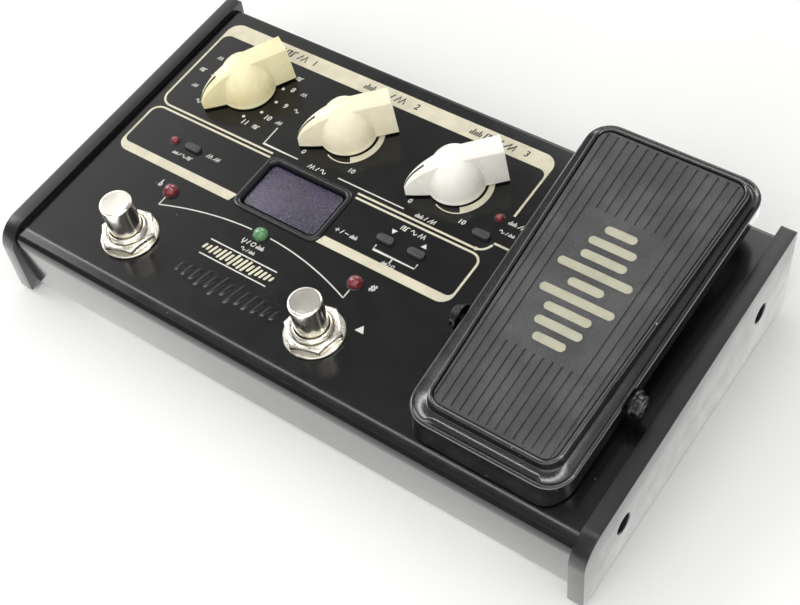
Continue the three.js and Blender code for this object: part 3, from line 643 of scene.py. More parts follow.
@dataclass
class Trees:
    """The trees that this object uses, each built once."""

    bars: bpy.types.NodeTree = field(default_factory=bar_row_tree)
    wave: bpy.types.NodeTree = field(default_factory=sound_wave_tree)
    dots: bpy.types.NodeTree = field(default_factory=dial_marks_tree)
    thread: bpy.types.NodeTree = field(default_factory=thread_tree)
    recess: bpy.types.NodeTree = field(default_factory=cross_recess_tree)


# ---- finishes


class Surface:
    """A Principled material that is being put together from noise, specks, scratches and bumps."""

    def __init__(self, name: str, roughness: float, metallic: float = 0.0, ior: float = 1.5) -> None:
        """Starts a material with the numbers that are the same all over.

        Args:
            name: the material's name.
            roughness: used until a pattern is linked in its place.
            metallic: 1 for bare or plated metal.
            ior: how strongly it reflects.
        """
        self.material = bpy.data.materials.new(name)
        self.material.use_nodes = True
        self.nodes = self.material.node_tree.nodes
        self.links = self.material.node_tree.links
        self.bsdf = self.nodes["Principled BSDF"]
        self.set("Roughness", roughness)
        self.set("Metallic", metallic)
        self.set("IOR", ior)
        self.where = self.nodes.new("ShaderNodeTexCoord").outputs["Object"]
        self.relief: Socket | None = None

    def set(self, label: str, value: object) -> None:
        """Sets a value on the shader's own socket."""
        self.bsdf.inputs[label].default_value = value

    def node(self, kind: str, values: dict, **traits: object) -> bpy.types.Node:
        """Adds a node to this material."""
        return wired(self.material.node_tree, kind, values, **traits)

    def stretched(self, x: float, y: float, z: float, turn: float = 0.0) -> Socket:
        """The object's coordinates with a scale on each axis, turned about Z."""
        values = {"Vector": self.where, "Scale": (x, y, z), "Rotation": (0.0, 0.0, turn)}
        return self.node("ShaderNodeMapping", values).outputs[0]

    def noise(self, grain_mm: float, detail: float = 2.0, where: Socket | None = None) -> Socket:
        """Cloudy noise whose lumps are about that many millimetres across."""
        values = {"Vector": where or self.where, "Scale": 1.0 / (grain_mm * MM), "Detail": detail}
        return self.node("ShaderNodeTexNoise", values).outputs["Fac"]

    def cells(self, pitch_mm: float) -> Socket:
        """Distance from scattered points that lie about that many millimetres apart."""
        values = {"Vector": self.where, "Scale": 1.0 / (pitch_mm * MM)}
        return self.node("ShaderNodeTexVoronoi", values).outputs["Distance"]

    def step(self, value: Socket, start: float, end: float, low: float = 0.0, high: float = 1.0) -> Socket:
        """Maps a value smoothly from start..end to low..high."""
        values = {"Value": value, 1: start, 2: end, 3: low, 4: high}
        return self.node("ShaderNodeMapRange", values, interpolation_type="SMOOTHSTEP").outputs[0]

    def times(self, a: Socket | float, b: Socket | float) -> Socket:
        """The product of two values."""
        return self.node("ShaderNodeMath", {0: a, 1: b}, operation="MULTIPLY").outputs[0]

    def blend(self, share: Socket | float, a: Socket | Colour, b: Socket | Colour) -> Socket:
        """A colour between a and b."""
        full = [v if isinstance(v, Socket) else (*v, 1.0) for v in (a, b)]
        node = self.node("ShaderNodeMix", {0: share, 6: full[0], 7: full[1]}, data_type="RGBA")
        return node.outputs[2]

    def specks(self, pitch_mm: float, size: float, share: float) -> Socket:
        """Small scattered specks: 1 on a speck, 0 elsewhere.

        Args:
            pitch_mm: how far apart they could be.
            size: a speck's radius as a share of the pitch.
            share: how many of the places hold a speck.

        Returns:
            The mask.
        """
        values = {"Vector": self.where, "Scale": 1.0 / (pitch_mm * MM)}
        voronoi = self.node("ShaderNodeTexVoronoi", values)
        red = self.node("ShaderNodeSeparateColor", {0: voronoi.outputs["Color"]}).outputs[0]
        spot = self.step(voronoi.outputs["Distance"], size, size * 0.4)
        return self.times(spot, self.step(red, 1 - share, 1 - share * 0.8))

    def scratches(self, turn: float, share: float) -> Socket:
        """Fine straight scratches that run one way: 1 on a scratch, 0 elsewhere."""
        lines = self.noise(0.35, 1.0, self.stretched(0.035, 1.0, 1.0, turn))
        patches = self.step(self.noise(9.0), 0.55, 0.7)
        return self.times(self.step(lines, 1 - share, 1 - share + 0.03), patches)

    def bumped(self, height: Socket, depth_mm: float, strength: float = 1.0) -> None:
        """Adds a relief layer of that depth on top of those already there."""
        values = {"Height": height, "Distance": depth_mm * MM, "Strength": strength}
        if self.relief is not None:
            values["Normal"] = self.relief
        self.relief = self.node("ShaderNodeBump", values).outputs[0]

    def finished(self, colour: Socket | Colour, roughness: Socket | None = None) -> Material:
        """Links the colour, roughness and relief, and returns the material."""
        if isinstance(colour, Socket):
            self.links.new(colour, self.bsdf.inputs["Base Color"])
        else:
            self.set("Base Color", (*colour, 1.0))
        if roughness is not None:
            self.links.new(roughness, self.bsdf.inputs["Roughness"])
        if self.relief is not None:
            self.links.new(self.relief, self.bsdf.inputs["Normal"])
        return self.material


def shade(colour: Colour, gain: float, lift: float = 0.0) -> Colour:
    """A colour made darker or lighter."""
    return tuple(c * gain + lift for c in colour)


@dataclass(frozen=True)
class Lacquer:
    """Sprayed black paint with a light orange peel, dust, chips and handling scratches."""

    name: str
    colour: Colour = (0.0022, 0.0022, 0.0024)
    roughness: float = 0.17
    haze: float = 0.04
    peel: float = 0.006
    grain: float = 0.0
    dust: float = 0.04
    ior: float = 1.45

    def material(self) -> Material:
        """The paint as a material."""
        skin = Surface(self.name, self.roughness, ior=self.ior)
        smear = skin.step(skin.noise(16.0, 4.0), 0.35, 0.75)
        speck = skin.specks(2.6, 0.09, self.dust)
        chip = skin.specks(9.0, 0.05, self.dust)
        scratch = skin.scratches(0.5, 0.3)
        tone = skin.blend(smear, self.colour, shade(self.colour, 1.5, 0.001))
        tone = skin.blend(skin.times(scratch, 0.06), tone, (0.3, 0.3, 0.3))
        tone = skin.blend(skin.times(speck, 0.55), tone, (0.42, 0.41, 0.38))
        tone = skin.blend(skin.times(chip, 0.8), tone, (0.5, 0.5, 0.5))
        rough = skin.step(skin.noise(7.0, 5.0), 0.3, 0.75, self.roughness, self.roughness + self.haze)
        skin.bumped(skin.noise(1.6, 1.0), self.peel, 0.5)
        if self.grain:
            skin.bumped(skin.noise(0.28, 2.0), self.grain, 0.6)
        skin.bumped(speck, 0.04, 0.5)
        return skin.finished(tone, rough)


@dataclass(frozen=True)
class Plate:
    """Plated or bare metal with fine wear lines, a milky haze and dark spots in places."""

    name: str
    colour: Colour = (0.76, 0.73, 0.65)
    roughness: float = 0.24
    wear: float = 0.14
    tarnish: float = 0.35

    def material(self) -> Material:
        """The metal as a material."""
        skin = Surface(self.name, self.roughness, metallic=1.0)
        cloud = skin.step(skin.noise(3.2, 4.0), 0.4, 0.75)
        lines = skin.step(skin.noise(0.16, 2.0, skin.stretched(0.12, 1.0, 1.0, 0.7)), 0.5, 0.75)
        spots = skin.specks(1.1, 0.2, 0.12)
        tone = skin.blend(skin.times(cloud, self.tarnish), self.colour, shade(self.colour, 0.72))
        tone = skin.blend(skin.times(spots, 0.5), tone, shade(self.colour, 0.35))
        rough = skin.step(cloud, 0.0, 1.0, self.roughness, self.roughness + self.wear)
        skin.bumped(lines, 0.004, 0.5)
        skin.bumped(skin.noise(0.9, 2.0), 0.006, 0.4)
        return skin.finished(tone, rough)


@dataclass(frozen=True)
class Moulding:
    """Moulded plastic with a fine tool texture, uneven ageing and a little grime."""

    name: str
    colour: Colour
    roughness: float = 0.3
    ageing: float = 0.12
    grain: float = 0.006
    depth: float = 0.0
    grime: float = 0.25

    def material(self) -> Material:
        """The plastic as a material."""
        skin = Surface(self.name, self.roughness, ior=1.49)
        patch = skin.step(skin.noise(11.0, 4.0), 0.35, 0.7)
        aged = (
            self.colour[0] * (1 - self.ageing * 0.4), self.colour[1] * (1 - self.ageing),
            self.colour[2] * (1 - 2 * self.ageing),
        )
        tone = skin.blend(patch, self.colour, aged)
        tone = skin.blend(skin.times(skin.specks(2.2, 0.08, 0.1), self.grime), tone, shade(self.colour, 0.3))
        rough = skin.step(skin.noise(4.0, 4.0), 0.3, 0.75, self.roughness - 0.06, self.roughness + 0.12)
        skin.bumped(skin.noise(0.35, 2.0), self.grain, 0.5)
        skin.bumped(skin.scratches(1.1, 0.28), 0.01, 0.4)
        if self.depth:
            skin.set("Subsurface Weight", self.depth)
            skin.set("Subsurface Radius", (1.0, 0.8, 0.5))
            skin.set("Subsurface Scale", 0.0015)
        return skin.finished(tone, rough)


@dataclass(frozen=True)
class Rubber:
    """Black rubber: a pebbled skin with its tops painted paler and its hollows painted darker as shade, worn
    paler in patches, with trapped dust.
    """

    name: str
    colour: Colour = (0.02, 0.02, 0.021)
    pebble: float = 0.55
    relief: float = 0.06
    roughness: float = 0.62
    dust: float = 0.06

    def material(self) -> Material:
        """The rubber as a material."""
        skin = Surface(self.name, self.roughness, ior=1.5)
        pebbles = skin.cells(self.pebble)
        worn = skin.step(skin.noise(13.0, 4.0), 0.35, 0.7)
        # Painted shade: each pebble is lighter on its raised middle and darker towards its hollow edge,
        # following the relief.
        tone = skin.blend(skin.step(pebbles, 0.0, 0.7), shade(self.colour, 1.35), shade(self.colour, 0.7))
        tone = skin.blend(skin.times(worn, 0.3), tone, shade(self.colour, 1.6, 0.004))
        tone = skin.blend(skin.times(skin.specks(2.4, 0.09, self.dust), 0.6), tone, (0.35, 0.33, 0.29))
        rough = skin.step(worn, 0.0, 1.0, self.roughness + 0.08, self.roughness - 0.08)
        skin.bumped(skin.step(pebbles, 0.15, 0.6, 1.0, 0.0), self.relief, 0.9)
        skin.bumped(skin.noise(0.2, 1.0), 0.01, 0.5)
        return skin.finished(tone, rough)


@dataclass(frozen=True)
class Ink:
    """Screen-printed ink, a touch uneven and pinholed, over the paint."""

    name: str
    colour: Colour = (0.64, 0.6, 0.46)
    roughness: float = 0.42

    def material(self) -> Material:
        """The ink as a material."""
        skin = Surface(self.name, self.roughness, ior=1.45)
        cloud = skin.step(skin.noise(5.0, 4.0), 0.35, 0.7)
        pinhole = skin.specks(0.9, 0.12, 0.06)
        tone = skin.blend(cloud, self.colour, shade(self.colour, 0.88))
        tone = skin.blend(skin.times(pinhole, 0.7), tone, shade(self.colour, 0.35))
        skin.bumped(skin.noise(0.25, 2.0), 0.01, 0.5)
        return skin.finished(tone, skin.step(cloud, 0.0, 1.0, self.roughness, self.roughness + 0.12))


@dataclass(frozen=True)
class LampLens:
    """Tinted clear plastic of an unlit lamp, milky inside, with a faint painted glow."""

    name: str
    colour: Colour
    painted_glow: Colour

    def material(self) -> Material:
        """The lens as a material."""
        skin = Surface(self.name, 0.07, ior=1.5)
        cloud = skin.step(skin.noise(1.4, 2.0), 0.3, 0.75)
        tone = skin.blend(cloud, self.colour, shade(self.colour, 1.5, 0.01))
        skin.set("Subsurface Weight", 0.5)
        skin.set("Subsurface Radius", (1.0, 0.6, 0.4))
        skin.set("Subsurface Scale", 0.0012)
        skin.set("Coat Weight", 0.6)
        skin.set("Coat Roughness", 0.04)
        # Painted glow: a faint emission in the lens colour, though the lamp is unlit.
        skin.set("Emission Color", (*self.painted_glow, 1.0))
        skin.set("Emission Strength", 0.12)
        skin.bumped(skin.noise(0.7, 1.0), 0.01, 0.3)
        return skin.finished(tone, skin.step(cloud, 0.0, 1.0, 0.06, 0.16))


@dataclass(frozen=True)
class CrinkledFilm:
    """A tinted window with an old protective film on it that has crept into fine wrinkles."""

    name: str
    deep: Colour = (0.006, 0.005, 0.009)
    violet: Colour = (0.018, 0.01, 0.045)

    def material(self) -> Material:
        """The film as a material."""
        skin = Surface(self.name, 0.12, ior=1.52)
        cloud = skin.step(skin.noise(9.0, 3.0), 0.38, 0.62)
        wrinkle = skin.noise(0.9, 3.0, skin.stretched(1.0, 2.6, 1.0, -0.5))
        ripple = skin.step(wrinkle, 0.38, 0.66)
        tone = skin.blend(cloud, self.deep, self.violet)
        tone = skin.blend(skin.times(ripple, 0.5), tone, shade(self.violet, 1.9, 0.02))
        skin.bumped(wrinkle, 0.32, 0.6)
        skin.bumped(skin.noise(4.5, 2.0), 0.25, 0.5)
        return skin.finished(tone, skin.step(ripple, 0.0, 1.0, 0.12, 0.34))


@dataclass(frozen=True)
class SolderMask:
    """Green circuit board with paler copper tracks under the mask and small solder points."""

    name: str

    def material(self) -> Material:
        """The board as a material."""
        skin = Surface(self.name, 0.35)
        tracks = self.tracks(skin)
        solder = skin.specks(2.5, 0.2, 0.6)
        tone = skin.blend(tracks, (0.006, 0.06, 0.022), (0.02, 0.15, 0.05))
        tone = skin.blend(solder, tone, (0.5, 0.5, 0.48))
        skin.bumped(tracks, 0.03, 0.6)
        return skin.finished(tone, skin.step(skin.noise(4.0), 0.3, 0.7, 0.28, 0.45))

    def tracks(self, skin: Surface) -> Socket:
        """Square-cornered tracks as a mask."""
        values = {"Vector": skin.where, "Scale": 420.0}
        wide = skin.node("ShaderNodeTexVoronoi", values, distance="CHEBYCHEV", feature="F2").outputs[0]
        return skin.step(wide, 0.42, 0.46)


Recipe = Lacquer | Plate | Moulding | Rubber | Ink | LampLens | CrinkledFilm | SolderMask


def mixed(recipe: Recipe) -> Material:
    """A finish that is made from its recipe when the Finishes are."""
    return field(default_factory=recipe.material)


@dataclass
class Finishes:
    """All the finishes of this object, made once each."""

    deck: Material = mixed(Lacquer("deck_lacquer"))
    cap: Material = mixed(Lacquer("cap_lacquer", (0.006, 0.006, 0.0063), 0.3, 0.05, 0.006, 0.008, 0.05))
    treadle: Material = mixed(
        Lacquer("treadle_lacquer", (0.006, 0.0062, 0.0066), 0.16, 0.06, 0.008, 0.005, 0.14, 1.7)
    )
    nickel: Material = mixed(Plate("nickel_plate"))
    bright: Material = mixed(Plate("polished_button", (0.8, 0.77, 0.69), 0.16, 0.08, 0.12))
    zinc: Material = mixed(Plate("zinc_plate", (0.5, 0.5, 0.49), 0.34, 0.16, 0.5))
    oxide: Material = mixed(Plate("black_oxide", (0.045, 0.046, 0.05), 0.28, 0.2, 0.6))
    foot: Material = mixed(Rubber("foot_rubber"))
    mat: Material = mixed(Rubber("mat_rubber", (0.047, 0.048, 0.05), 0.5, 0.12, 0.6, 0.06))
    button: Material = mixed(Rubber("button_rubber", (0.022, 0.022, 0.025), 0.25, 0.012, 0.42, 0.08))
    plastic: Material = mixed(Moulding("black_plastic", (0.018, 0.018, 0.02), 0.42, 0.0, 0.012))
    gloss: Material = mixed(Moulding("gloss_black_plastic", (0.011, 0.011, 0.013), 0.16, 0.0, 0.002))
    nylon: Material = mixed(Moulding("nylon", (0.68, 0.66, 0.6), 0.45, 0.06, 0.01, 0.3))
    cream: Material = mixed(Moulding("cream_knob", (0.84, 0.78, 0.50), 0.24, 0.1, 0.003, 0.15, 0.12))
    ivory: Material = mixed(Moulding("ivory_knob", (0.84, 0.79, 0.60), 0.24, 0.05, 0.003, 0.15, 0.1))
    white: Material = mixed(Moulding("white_knob", (0.86, 0.85, 0.79), 0.24, 0.02, 0.003, 0.15, 0.1))
    print: Material = mixed(Ink("cream_ink"))
    pale: Material = mixed(Ink("white_ink", (0.66, 0.66, 0.62)))
    motif: Material = mixed(Ink("tread_ink", (0.42, 0.41, 0.31), 0.5))
    dark: Material = mixed(Ink("black_ink", (0.014, 0.014, 0.014), 0.35))
    # The third colour of each lens is its painted glow, shown though the lamp is unlit.
    red: Material = mixed(LampLens("red_lens", (0.12, 0.008, 0.012), (0.3, 0.01, 0.02)))
    green: Material = mixed(LampLens("green_lens", (0.065, 0.17, 0.07), (0.08, 0.4, 0.16)))
    film: Material = mixed(CrinkledFilm("display_film"))
    board: Material = mixed(SolderMask("solder_mask"))


# ---- printed signs


class Sign(Enum):
    """Generic signs that are printed on the panel in place of words."""

    SINE = "sine"
    SQUARE = "square"
    SAW = "saw"
    PEAKS = "peaks"
    BARS = "bars"
    RING = "ring"
    FORK = "fork"
    UP = "up"
    DOWN = "down"
    PLUS = "plus"
    MINUS = "minus"
    SHARP = "sharp"
    SOFT = "soft"
    POWER = "power"
    DASH = "dash"


def sign_paths(sign: Sign) -> list[list[Flat]]:
    """The lines of a sign in a box one unit high and about as wide, its corner on the zero point."""
    waves = [(i / 12 * 1.4, 0.5 + 0.45 * math.sin(i / 12 * math.tau)) for i in range(13)]
    paths = {
        Sign.SINE: [waves],
        Sign.SQUARE: [[(0, 0), (0, 1), (0.5, 1), (0.5, 0), (1, 0), (1, 1), (1.5, 1)]],
        Sign.SAW: [[(0, 0), (0.7, 1), (0.7, 0), (1.4, 1), (1.4, 0)]],
        Sign.PEAKS: [[(0, 0), (0.35, 1), (0.7, 0), (1.05, 1), (1.4, 0)]],
        Sign.BARS: [[(0.3 * i, 0), (0.3 * i, 0.3 + 0.7 * abs(math.sin(i * 1.1 + 0.4)))] for i in range(6)],
        Sign.RING: [arc(0.5, 0.5, 0.45, 0, 340, 16)],
        Sign.FORK: [
            [(0, 1), (0, 0.55), *arc(0.35, 0.5, 0.35, 180, 360, 6), (0.7, 0.55), (0.7, 1)],
            [(0.35, 0.15), (0.35, -0.35)],
        ],
        Sign.UP: [[(0, 0.1), (0.5, 0.9), (1, 0.1)]],
        Sign.DOWN: [[(0, 0.9), (0.5, 0.1), (1, 0.9)]],
        Sign.PLUS: [[(0, 0.5), (1, 0.5)], [(0.5, 0), (0.5, 1)]],
        Sign.MINUS: [[(0, 0.5), (1, 0.5)]],
        Sign.SHARP: [
            [(0.3, -0.1), (0.3, 1.1)], [(0.7, 0), (0.7, 1.2)], [(0, 0.25), (1, 0.45)], [(0, 0.7), (1, 0.9)]
        ],
        Sign.SOFT: [[(0.2, 1.2), (0.2, 0)], [(0.2, 0.05), *arc(0.3, 0.3, 0.3, -60, 120, 8)]],
        Sign.POWER: [arc(0.5, 0.45, 0.45, 120, 420, 14), [(0.5, 0.5), (0.5, 1.05)]],
        Sign.DASH: [[(0, 0), (0.3, 1)]],
    }
    return paths[sign]


@dataclass
class Press:
    """Prints lines, signs and numbers as thin films of ink on a flat face."""

    low: float = -0.01
    high: float = 0.035

    def line(self, path: Sequence[Flat], width: float) -> Shape:
        """A printed line."""
        return stroke(path, width, self.low, self.high)

    def patch(self, outline: Sequence[Flat]) -> Shape:
        """A printed patch."""
        return prism(outline, self.low, self.high)

    def signs(
        self, signs: Sequence[Sign], x: float, y: float, size: float, weight: float = 0.2, lean: float = 0.18
    ) -> Shape:
        """A short row of signs, centred on (x, y), leaning like the rest of the print."""
        shapes, at = [], 0.0
        for sign in signs:
            paths = sign_paths(sign)
            wide = max(p[0] for path in paths for p in path)
            for path in paths:
                placed = [((at + px + lean * py) * size, py * size) for px, py in path]
                shapes.append(self.line(placed, weight * size))
            at += wide + 0.55
        whole = gathered(shapes)
        return whole.shifted(x - (at - 0.55) * size / 2, y - size / 2)

    def number(self, text: str, x: float, y: float, size: float) -> Shape:
        """A number, centred on (x, y)."""
        curve = bpy.data.curves.new("number", "FONT")
        curve.body = text
        curve.size = size
        curve.align_x, curve.align_y = "CENTER", "CENTER"
        curve.extrude = (self.high - self.low) / 2
        curve.shear = 0.15
        curve.offset = 0.02 * size
        curve.resolution_u = 3
        letter = linked("number", curve)
        graph = bpy.context.evaluated_depsgraph_get()
        mesh = bpy.data.meshes.new_from_object(letter.evaluated_get(graph))
        bpy.data.objects.remove(letter)
        work = bmesh.new()
        work.from_mesh(mesh)
        bmesh.ops.remove_doubles(work, verts=work.verts, dist=1e-4)
        work.to_mesh(mesh)
        work.free()
        shape = Shape([v.co.copy() for v in mesh.vertices], [tuple(p.vertices) for p in mesh.polygons])
        return shape.shifted(x, y, (self.high + self.low) / 2)


# ---- case


@dataclass
class CoverShell:
    """The folded steel cover: leaning front wall, rolled front edge, sloping deck and back wall."""

    finishes: Finishes
    sheet: float = 1.6
    slope: float = 0.066
    height: float = 32.4
    wall_foot: float = 3.4
    wall_bottom: float = -60.2
    wall_top: float = -62.0
    wall_top_height: float = 23.4
    deck_front: float = -57.0
    deck_back: float = 61.4
    back_radius: float = 2.0
    knob_hole: float = 4.7
    switch_hole: float = 6.8
    jack_hole: float = 4.9
    window: Flat = (33.0, 21.2)
    gear_slot: Flat = (5, 15)
    gear_at: Flat = (66.5, -18.6)

    def deck_height(self, y: float) -> float:
        """Height of the deck's painted face above the table at a depth y."""
        return self.height + self.slope * y

    def outer_line(self) -> list[Flat]:
        """The outside of the fold as (y, z), from the foot of the front wall to that of the back wall."""
        front, back = self.deck_front, self.deck_back
        lip = (front - 2.3, self.deck_height(front) - 0.6)
        knee = [(front - 0.9, self.deck_height(front) - 0.235), (front, self.deck_height(front))]
        return [
            (self.wall_bottom, self.wall_foot),
            *bend(
                (self.wall_top, self.wall_top_height), (self.wall_top, self.deck_height(self.wall_top) - 1),
                lip, 14,
            ),
            *bend(knee[0], knee[1], (front + 0.9, self.deck_height(front + 0.9)), 6),
            *bend(
                (back - self.back_radius, self.deck_height(back - self.back_radius)),
                (back, self.deck_height(back)),
                (back, self.deck_height(back) - self.back_radius),
                8,
            ),
            (back, self.wall_foot),
        ]

    def inner_line(self) -> list[Flat]:
        """The inside of the fold, one sheet thickness in from the outside."""
        outer = self.outer_line()
        inner = []
        for i, (y, z) in enumerate(outer):
            (y0, z0), (y1, z1) = outer[max(i - 1, 0)], outer[min(i + 1, len(outer) - 1)]
            run = Vector((y1 - y0, z1 - z0)).normalized()
            inner.append((y + run.y * self.sheet, z - run.x * self.sheet))
        return inner

    def openings(self) -> Shape:
        """Every hole in the cover, as tools in the row frame's millimetres."""
        to_row = ROW.matrix.inverted() @ DECK.matrix
        tools = []
        for x, y in KNOB_SPOTS.values():
            tools.append(round_bar(self.knob_hole, -4, 2).shifted(x, y))
        for side in ("left", "right"):
            x, y = DECK.middle(f"footswitch_nut_{side}")
            tools.append(round_bar(self.switch_hole, -4, 2).shifted(x, y))
        for node in Lamps.SPOTS:
            low, high = DECK.box(node)
            tools.append(round_bar((high.x - low.x) / 2 - 0.3, -4, 2, 32).shifted(*DECK.middle(node)))
        for node in PushButtons.NODES:
            tools.append(prism(rounded(7.1, 3.6, 1.79), -4, 2).shifted(*DECK.middle(node)))
        tools.append(prism(rounded(*self.window, 3.0), -4, 2).shifted(*DECK.middle("display_bezel")))
        tools.append(prism(rounded(*self.gear_slot, 2), -4, 2).shifted(*self.gear_at))
        deck_tools = gathered(tools).moved(to_row)
        wall = self.deck_back
        lying = Matrix.Rotation(-math.pi / 2, 4, "X")
        back = []
        for node in ("input_jack_nut", "output_jack_nut"):
            x, _, z = ROW.centre(node)
            back.append(round_bar(self.jack_hole, -4, 4).moved(lying).shifted(x, wall, z))
        for node, grow_x, grow_z in (("dc_inlet", 0.3, 0.3), ("power_switch_lever", 2.5, 0.3)):
            low, high = ROW.box(node)
            shift = LEVER_HALF_TRAVEL if node == "power_switch_lever" else 0.0
            corner = (low.x - grow_x + shift, wall - 4, low.z - grow_z)
            back.append(block(corner, (high.x + grow_x + shift, wall + 4, high.z + grow_z)))
        return deck_tools.add(gathered(back))

    def build(self) -> None:
        """Folds the cover, opens its holes and paints it."""
        low, high = ROW.box("top_cover")
        outline = self.outer_line() + self.inner_line()[::-1]
        shell = made("cover_shell", crossing(outline, low.x, high.x))
        worked(shell, self.openings())
        fitted(shell, ROW, self.finishes.deck, "case", "black_paint", ["top_cover"], 24)


@dataclass
class EndCaps:
    """The two thick end plates, their countersunk screws and the feet under the case."""

    finishes: Finishes
    trees: Trees
    front_radius: float = 9.5
    back_radius: float = 5.0
    foot_lift: float = 1.5
    front_height: float = 30.9
    back_height: float = 38.5
    edge: float = 0.55
    recess: float = 3.5
    bore: float = 1.8
    recess_depth: float = 3.2
    head_radius: float = 3.1
    head_height: float = 2.1

    def outline(self, front: float, back: float) -> list[Flat]:
        """Side view of a cap as (y, z)."""
        r, low, high = self.front_radius, self.foot_lift, self.front_height
        return [
            (front, low + 0.2),
            (front + 0.2, low),
            *arc(back - self.back_radius, low + self.back_radius, self.back_radius, -90, 0, 8),
            *bend(
                (back, self.back_height - 1.2), (back, self.back_height),
                (back - 1.2, self.back_height - 0.1), 5,
            ),
            *arc(front + r, high - r, r, 92, 180, 14),
        ]

    def screw_spots(self, side: str) -> list[tuple[str, float, float]]:
        """Name, y and z of a cap's two screws."""
        spots = []
        for end in ("front", "rear"):
            name = f"{side}_cap_screw_{end}"
            spots.append((name, *ROW.centre(name)[1:]))
        return spots

    def cap(self, side: str, sign: int) -> None:
        """One end cap with its bores, its edges eased."""
        low, high = ROW.box(f"{side}_end_cap")
        plate = made(f"{side}_cap_plate", crossing(self.outline(low.y, high.y), low.x, high.x))
        eased(plate, self.edge, 3, 40)
        outer = high.x if sign > 0 else low.x
        turn = Matrix.Rotation(sign * math.pi / 2, 4, "Y")
        drills = []
        for _, y, z in self.screw_spots(side):
            profile = [
                (0, -9),
                (self.bore, -9),
                (self.bore, -self.recess_depth),
                (self.recess, -self.recess_depth),
                (self.recess, -0.35),
                (self.recess + 0.7, 0.35),
                (0, 0.35),
            ]
            drills.append(lathe(profile, 40).moved(turn).shifted(outer, y, z))
        worked(plate, gathered(drills))
        fitted(plate, ROW, self.finishes.cap, "case", "cap_paint", [f"{side}_end_cap"], 28)

    def screw(self, name: str, y: float, z: float, sign: int) -> None:
        """A pan-head screw with a rolled shank and a cross recess."""
        low, high = ROW.box(name)
        seat = (high.x - self.head_height) if sign > 0 else (low.x + self.head_height)
        top = self.head_height
        shank = [(1.5 - (0.24 if i % 2 else 0.0), -7.4 + i * 0.28) for i in range(26)]
        dome = [
            (self.head_radius * math.cos(a * DEG), 0.5 + (top - 0.5) * math.sin(a * DEG))
            for a in (0, 18, 36, 54, 72)
        ]
        blank = made(
            f"{name}_part",
            lathe(
                [(0, -8.4), (0.7, -8.3), *shank, (1.5, 0), (self.head_radius - 0.1, 0), *dome, (0, top)], 32
            ),
        )
        grown(blank, self.trees.recess, self.finishes.oxide, Top=top, Length=3.5, Width=0.85, Depth=1.15)
        place = ROW.at(seat, y, z).facing("Y", sign * math.pi / 2).facing("Z", 0.4 + y * 0.05)
        fitted(blank, place, self.finishes.oxide, "case", "dark_screw", [name], 30)

    def foot(self, name: str) -> None:
        """A turned rubber foot with a hollow sole and two grip rings."""
        low, high = ROW.box(name)
        radius, top = (high.x - low.x) / 2, high.z
        profile = [(0, 0.7), (3.0, 0.7), (3.4, 0.1), (3.9, 0), (4.3, 0.35), (4.9, 0.35), (5.3, 0), (6.2, 0)]
        profile += [
            (radius - 0.35, 0.12), (radius - 0.05, 0.6), (radius, 1.0), (radius - 0.25, top), (0, top)
        ]
        piece = made(f"{name}_part", lathe(profile, 48))
        x, y = ROW.middle(name)
        fitted(piece, ROW.at(x, y), self.finishes.foot, "case", "rubber", [name], 40)

    def build(self) -> None:
        """Both caps, their screws and the feet."""
        for side, sign in (("left", -1), ("right", 1)):
            self.cap(side, sign)
            for name, y, z in self.screw_spots(side):
                self.screw(name, y, z, sign)
            for end in ("front", "rear"):
                self.foot(f"{side}_foot_{end}")


@dataclass
class Underside:
    """The battery door with its ribbed grip, and the battery signs on the bottom plate."""

    finishes: Finishes
    trees: Trees
    press: Press = field(default_factory=Press)
    well_from_edge: float = 6.5

    def door(self) -> None:
        """The door: an eased lid with a finger well and ridges in it."""
        low, high = ROW.box("battery_door")
        width, depth = high.x - low.x, high.y - low.y
        thick = high.z - low.z
        lid = made("battery_door_lid", prism(rounded(width, depth, 1.5), 0, thick))
        worked(lid, prism(rounded(20, 6, 2.4), -1, 0.55).shifted(0, -depth / 2 + self.well_from_edge))
        eased(lid, 0.18, 2, 40)
        place = ROW.at(*ROW.middle("battery_door"), low.z)
        fitted(lid, place, self.finishes.plastic, "battery_door", "black_plastic", ["battery_door"], 35)
        ridges = made("battery_door_grip", Shape())
        grown(
            ridges, self.trees.bars, self.finishes.plastic, Count=7, Pitch=2.2, Length=4.4, Width=0.7,
            Height=0.4,
        )
        eased(ridges, 0.12, 2)
        spot = place.at(0, -depth / 2 + self.well_from_edge, 0.4)
        fitted(ridges, spot, self.finishes.plastic, "battery_door", "black_plastic")

    def marks(self) -> None:
        """Battery direction signs pressed on the plate beside the door."""
        low, high = ROW.box("battery_door")
        signs = gathered(
            self.press.signs([sign], low.x + (i + 0.5) * (high.x - low.x) / 4, high.y + 7, 4.0, 0.22, 0.0)
            for i, sign in enumerate((Sign.PLUS, Sign.MINUS, Sign.PLUS, Sign.MINUS))
        )
        plate_low, _ = ROW.box("bottom_plate")
        flipped = signs.moved(Matrix.Scale(-1, 4, (0, 0, 1))).shifted(0, 0, plate_low.z)
        fitted(made("plate_signs", flipped), ROW, self.finishes.dark, "case", "zinc_steel")

    def build(self) -> None:
        """The door and the signs."""
        self.door()
        self.marks()


# ---- print on the deck


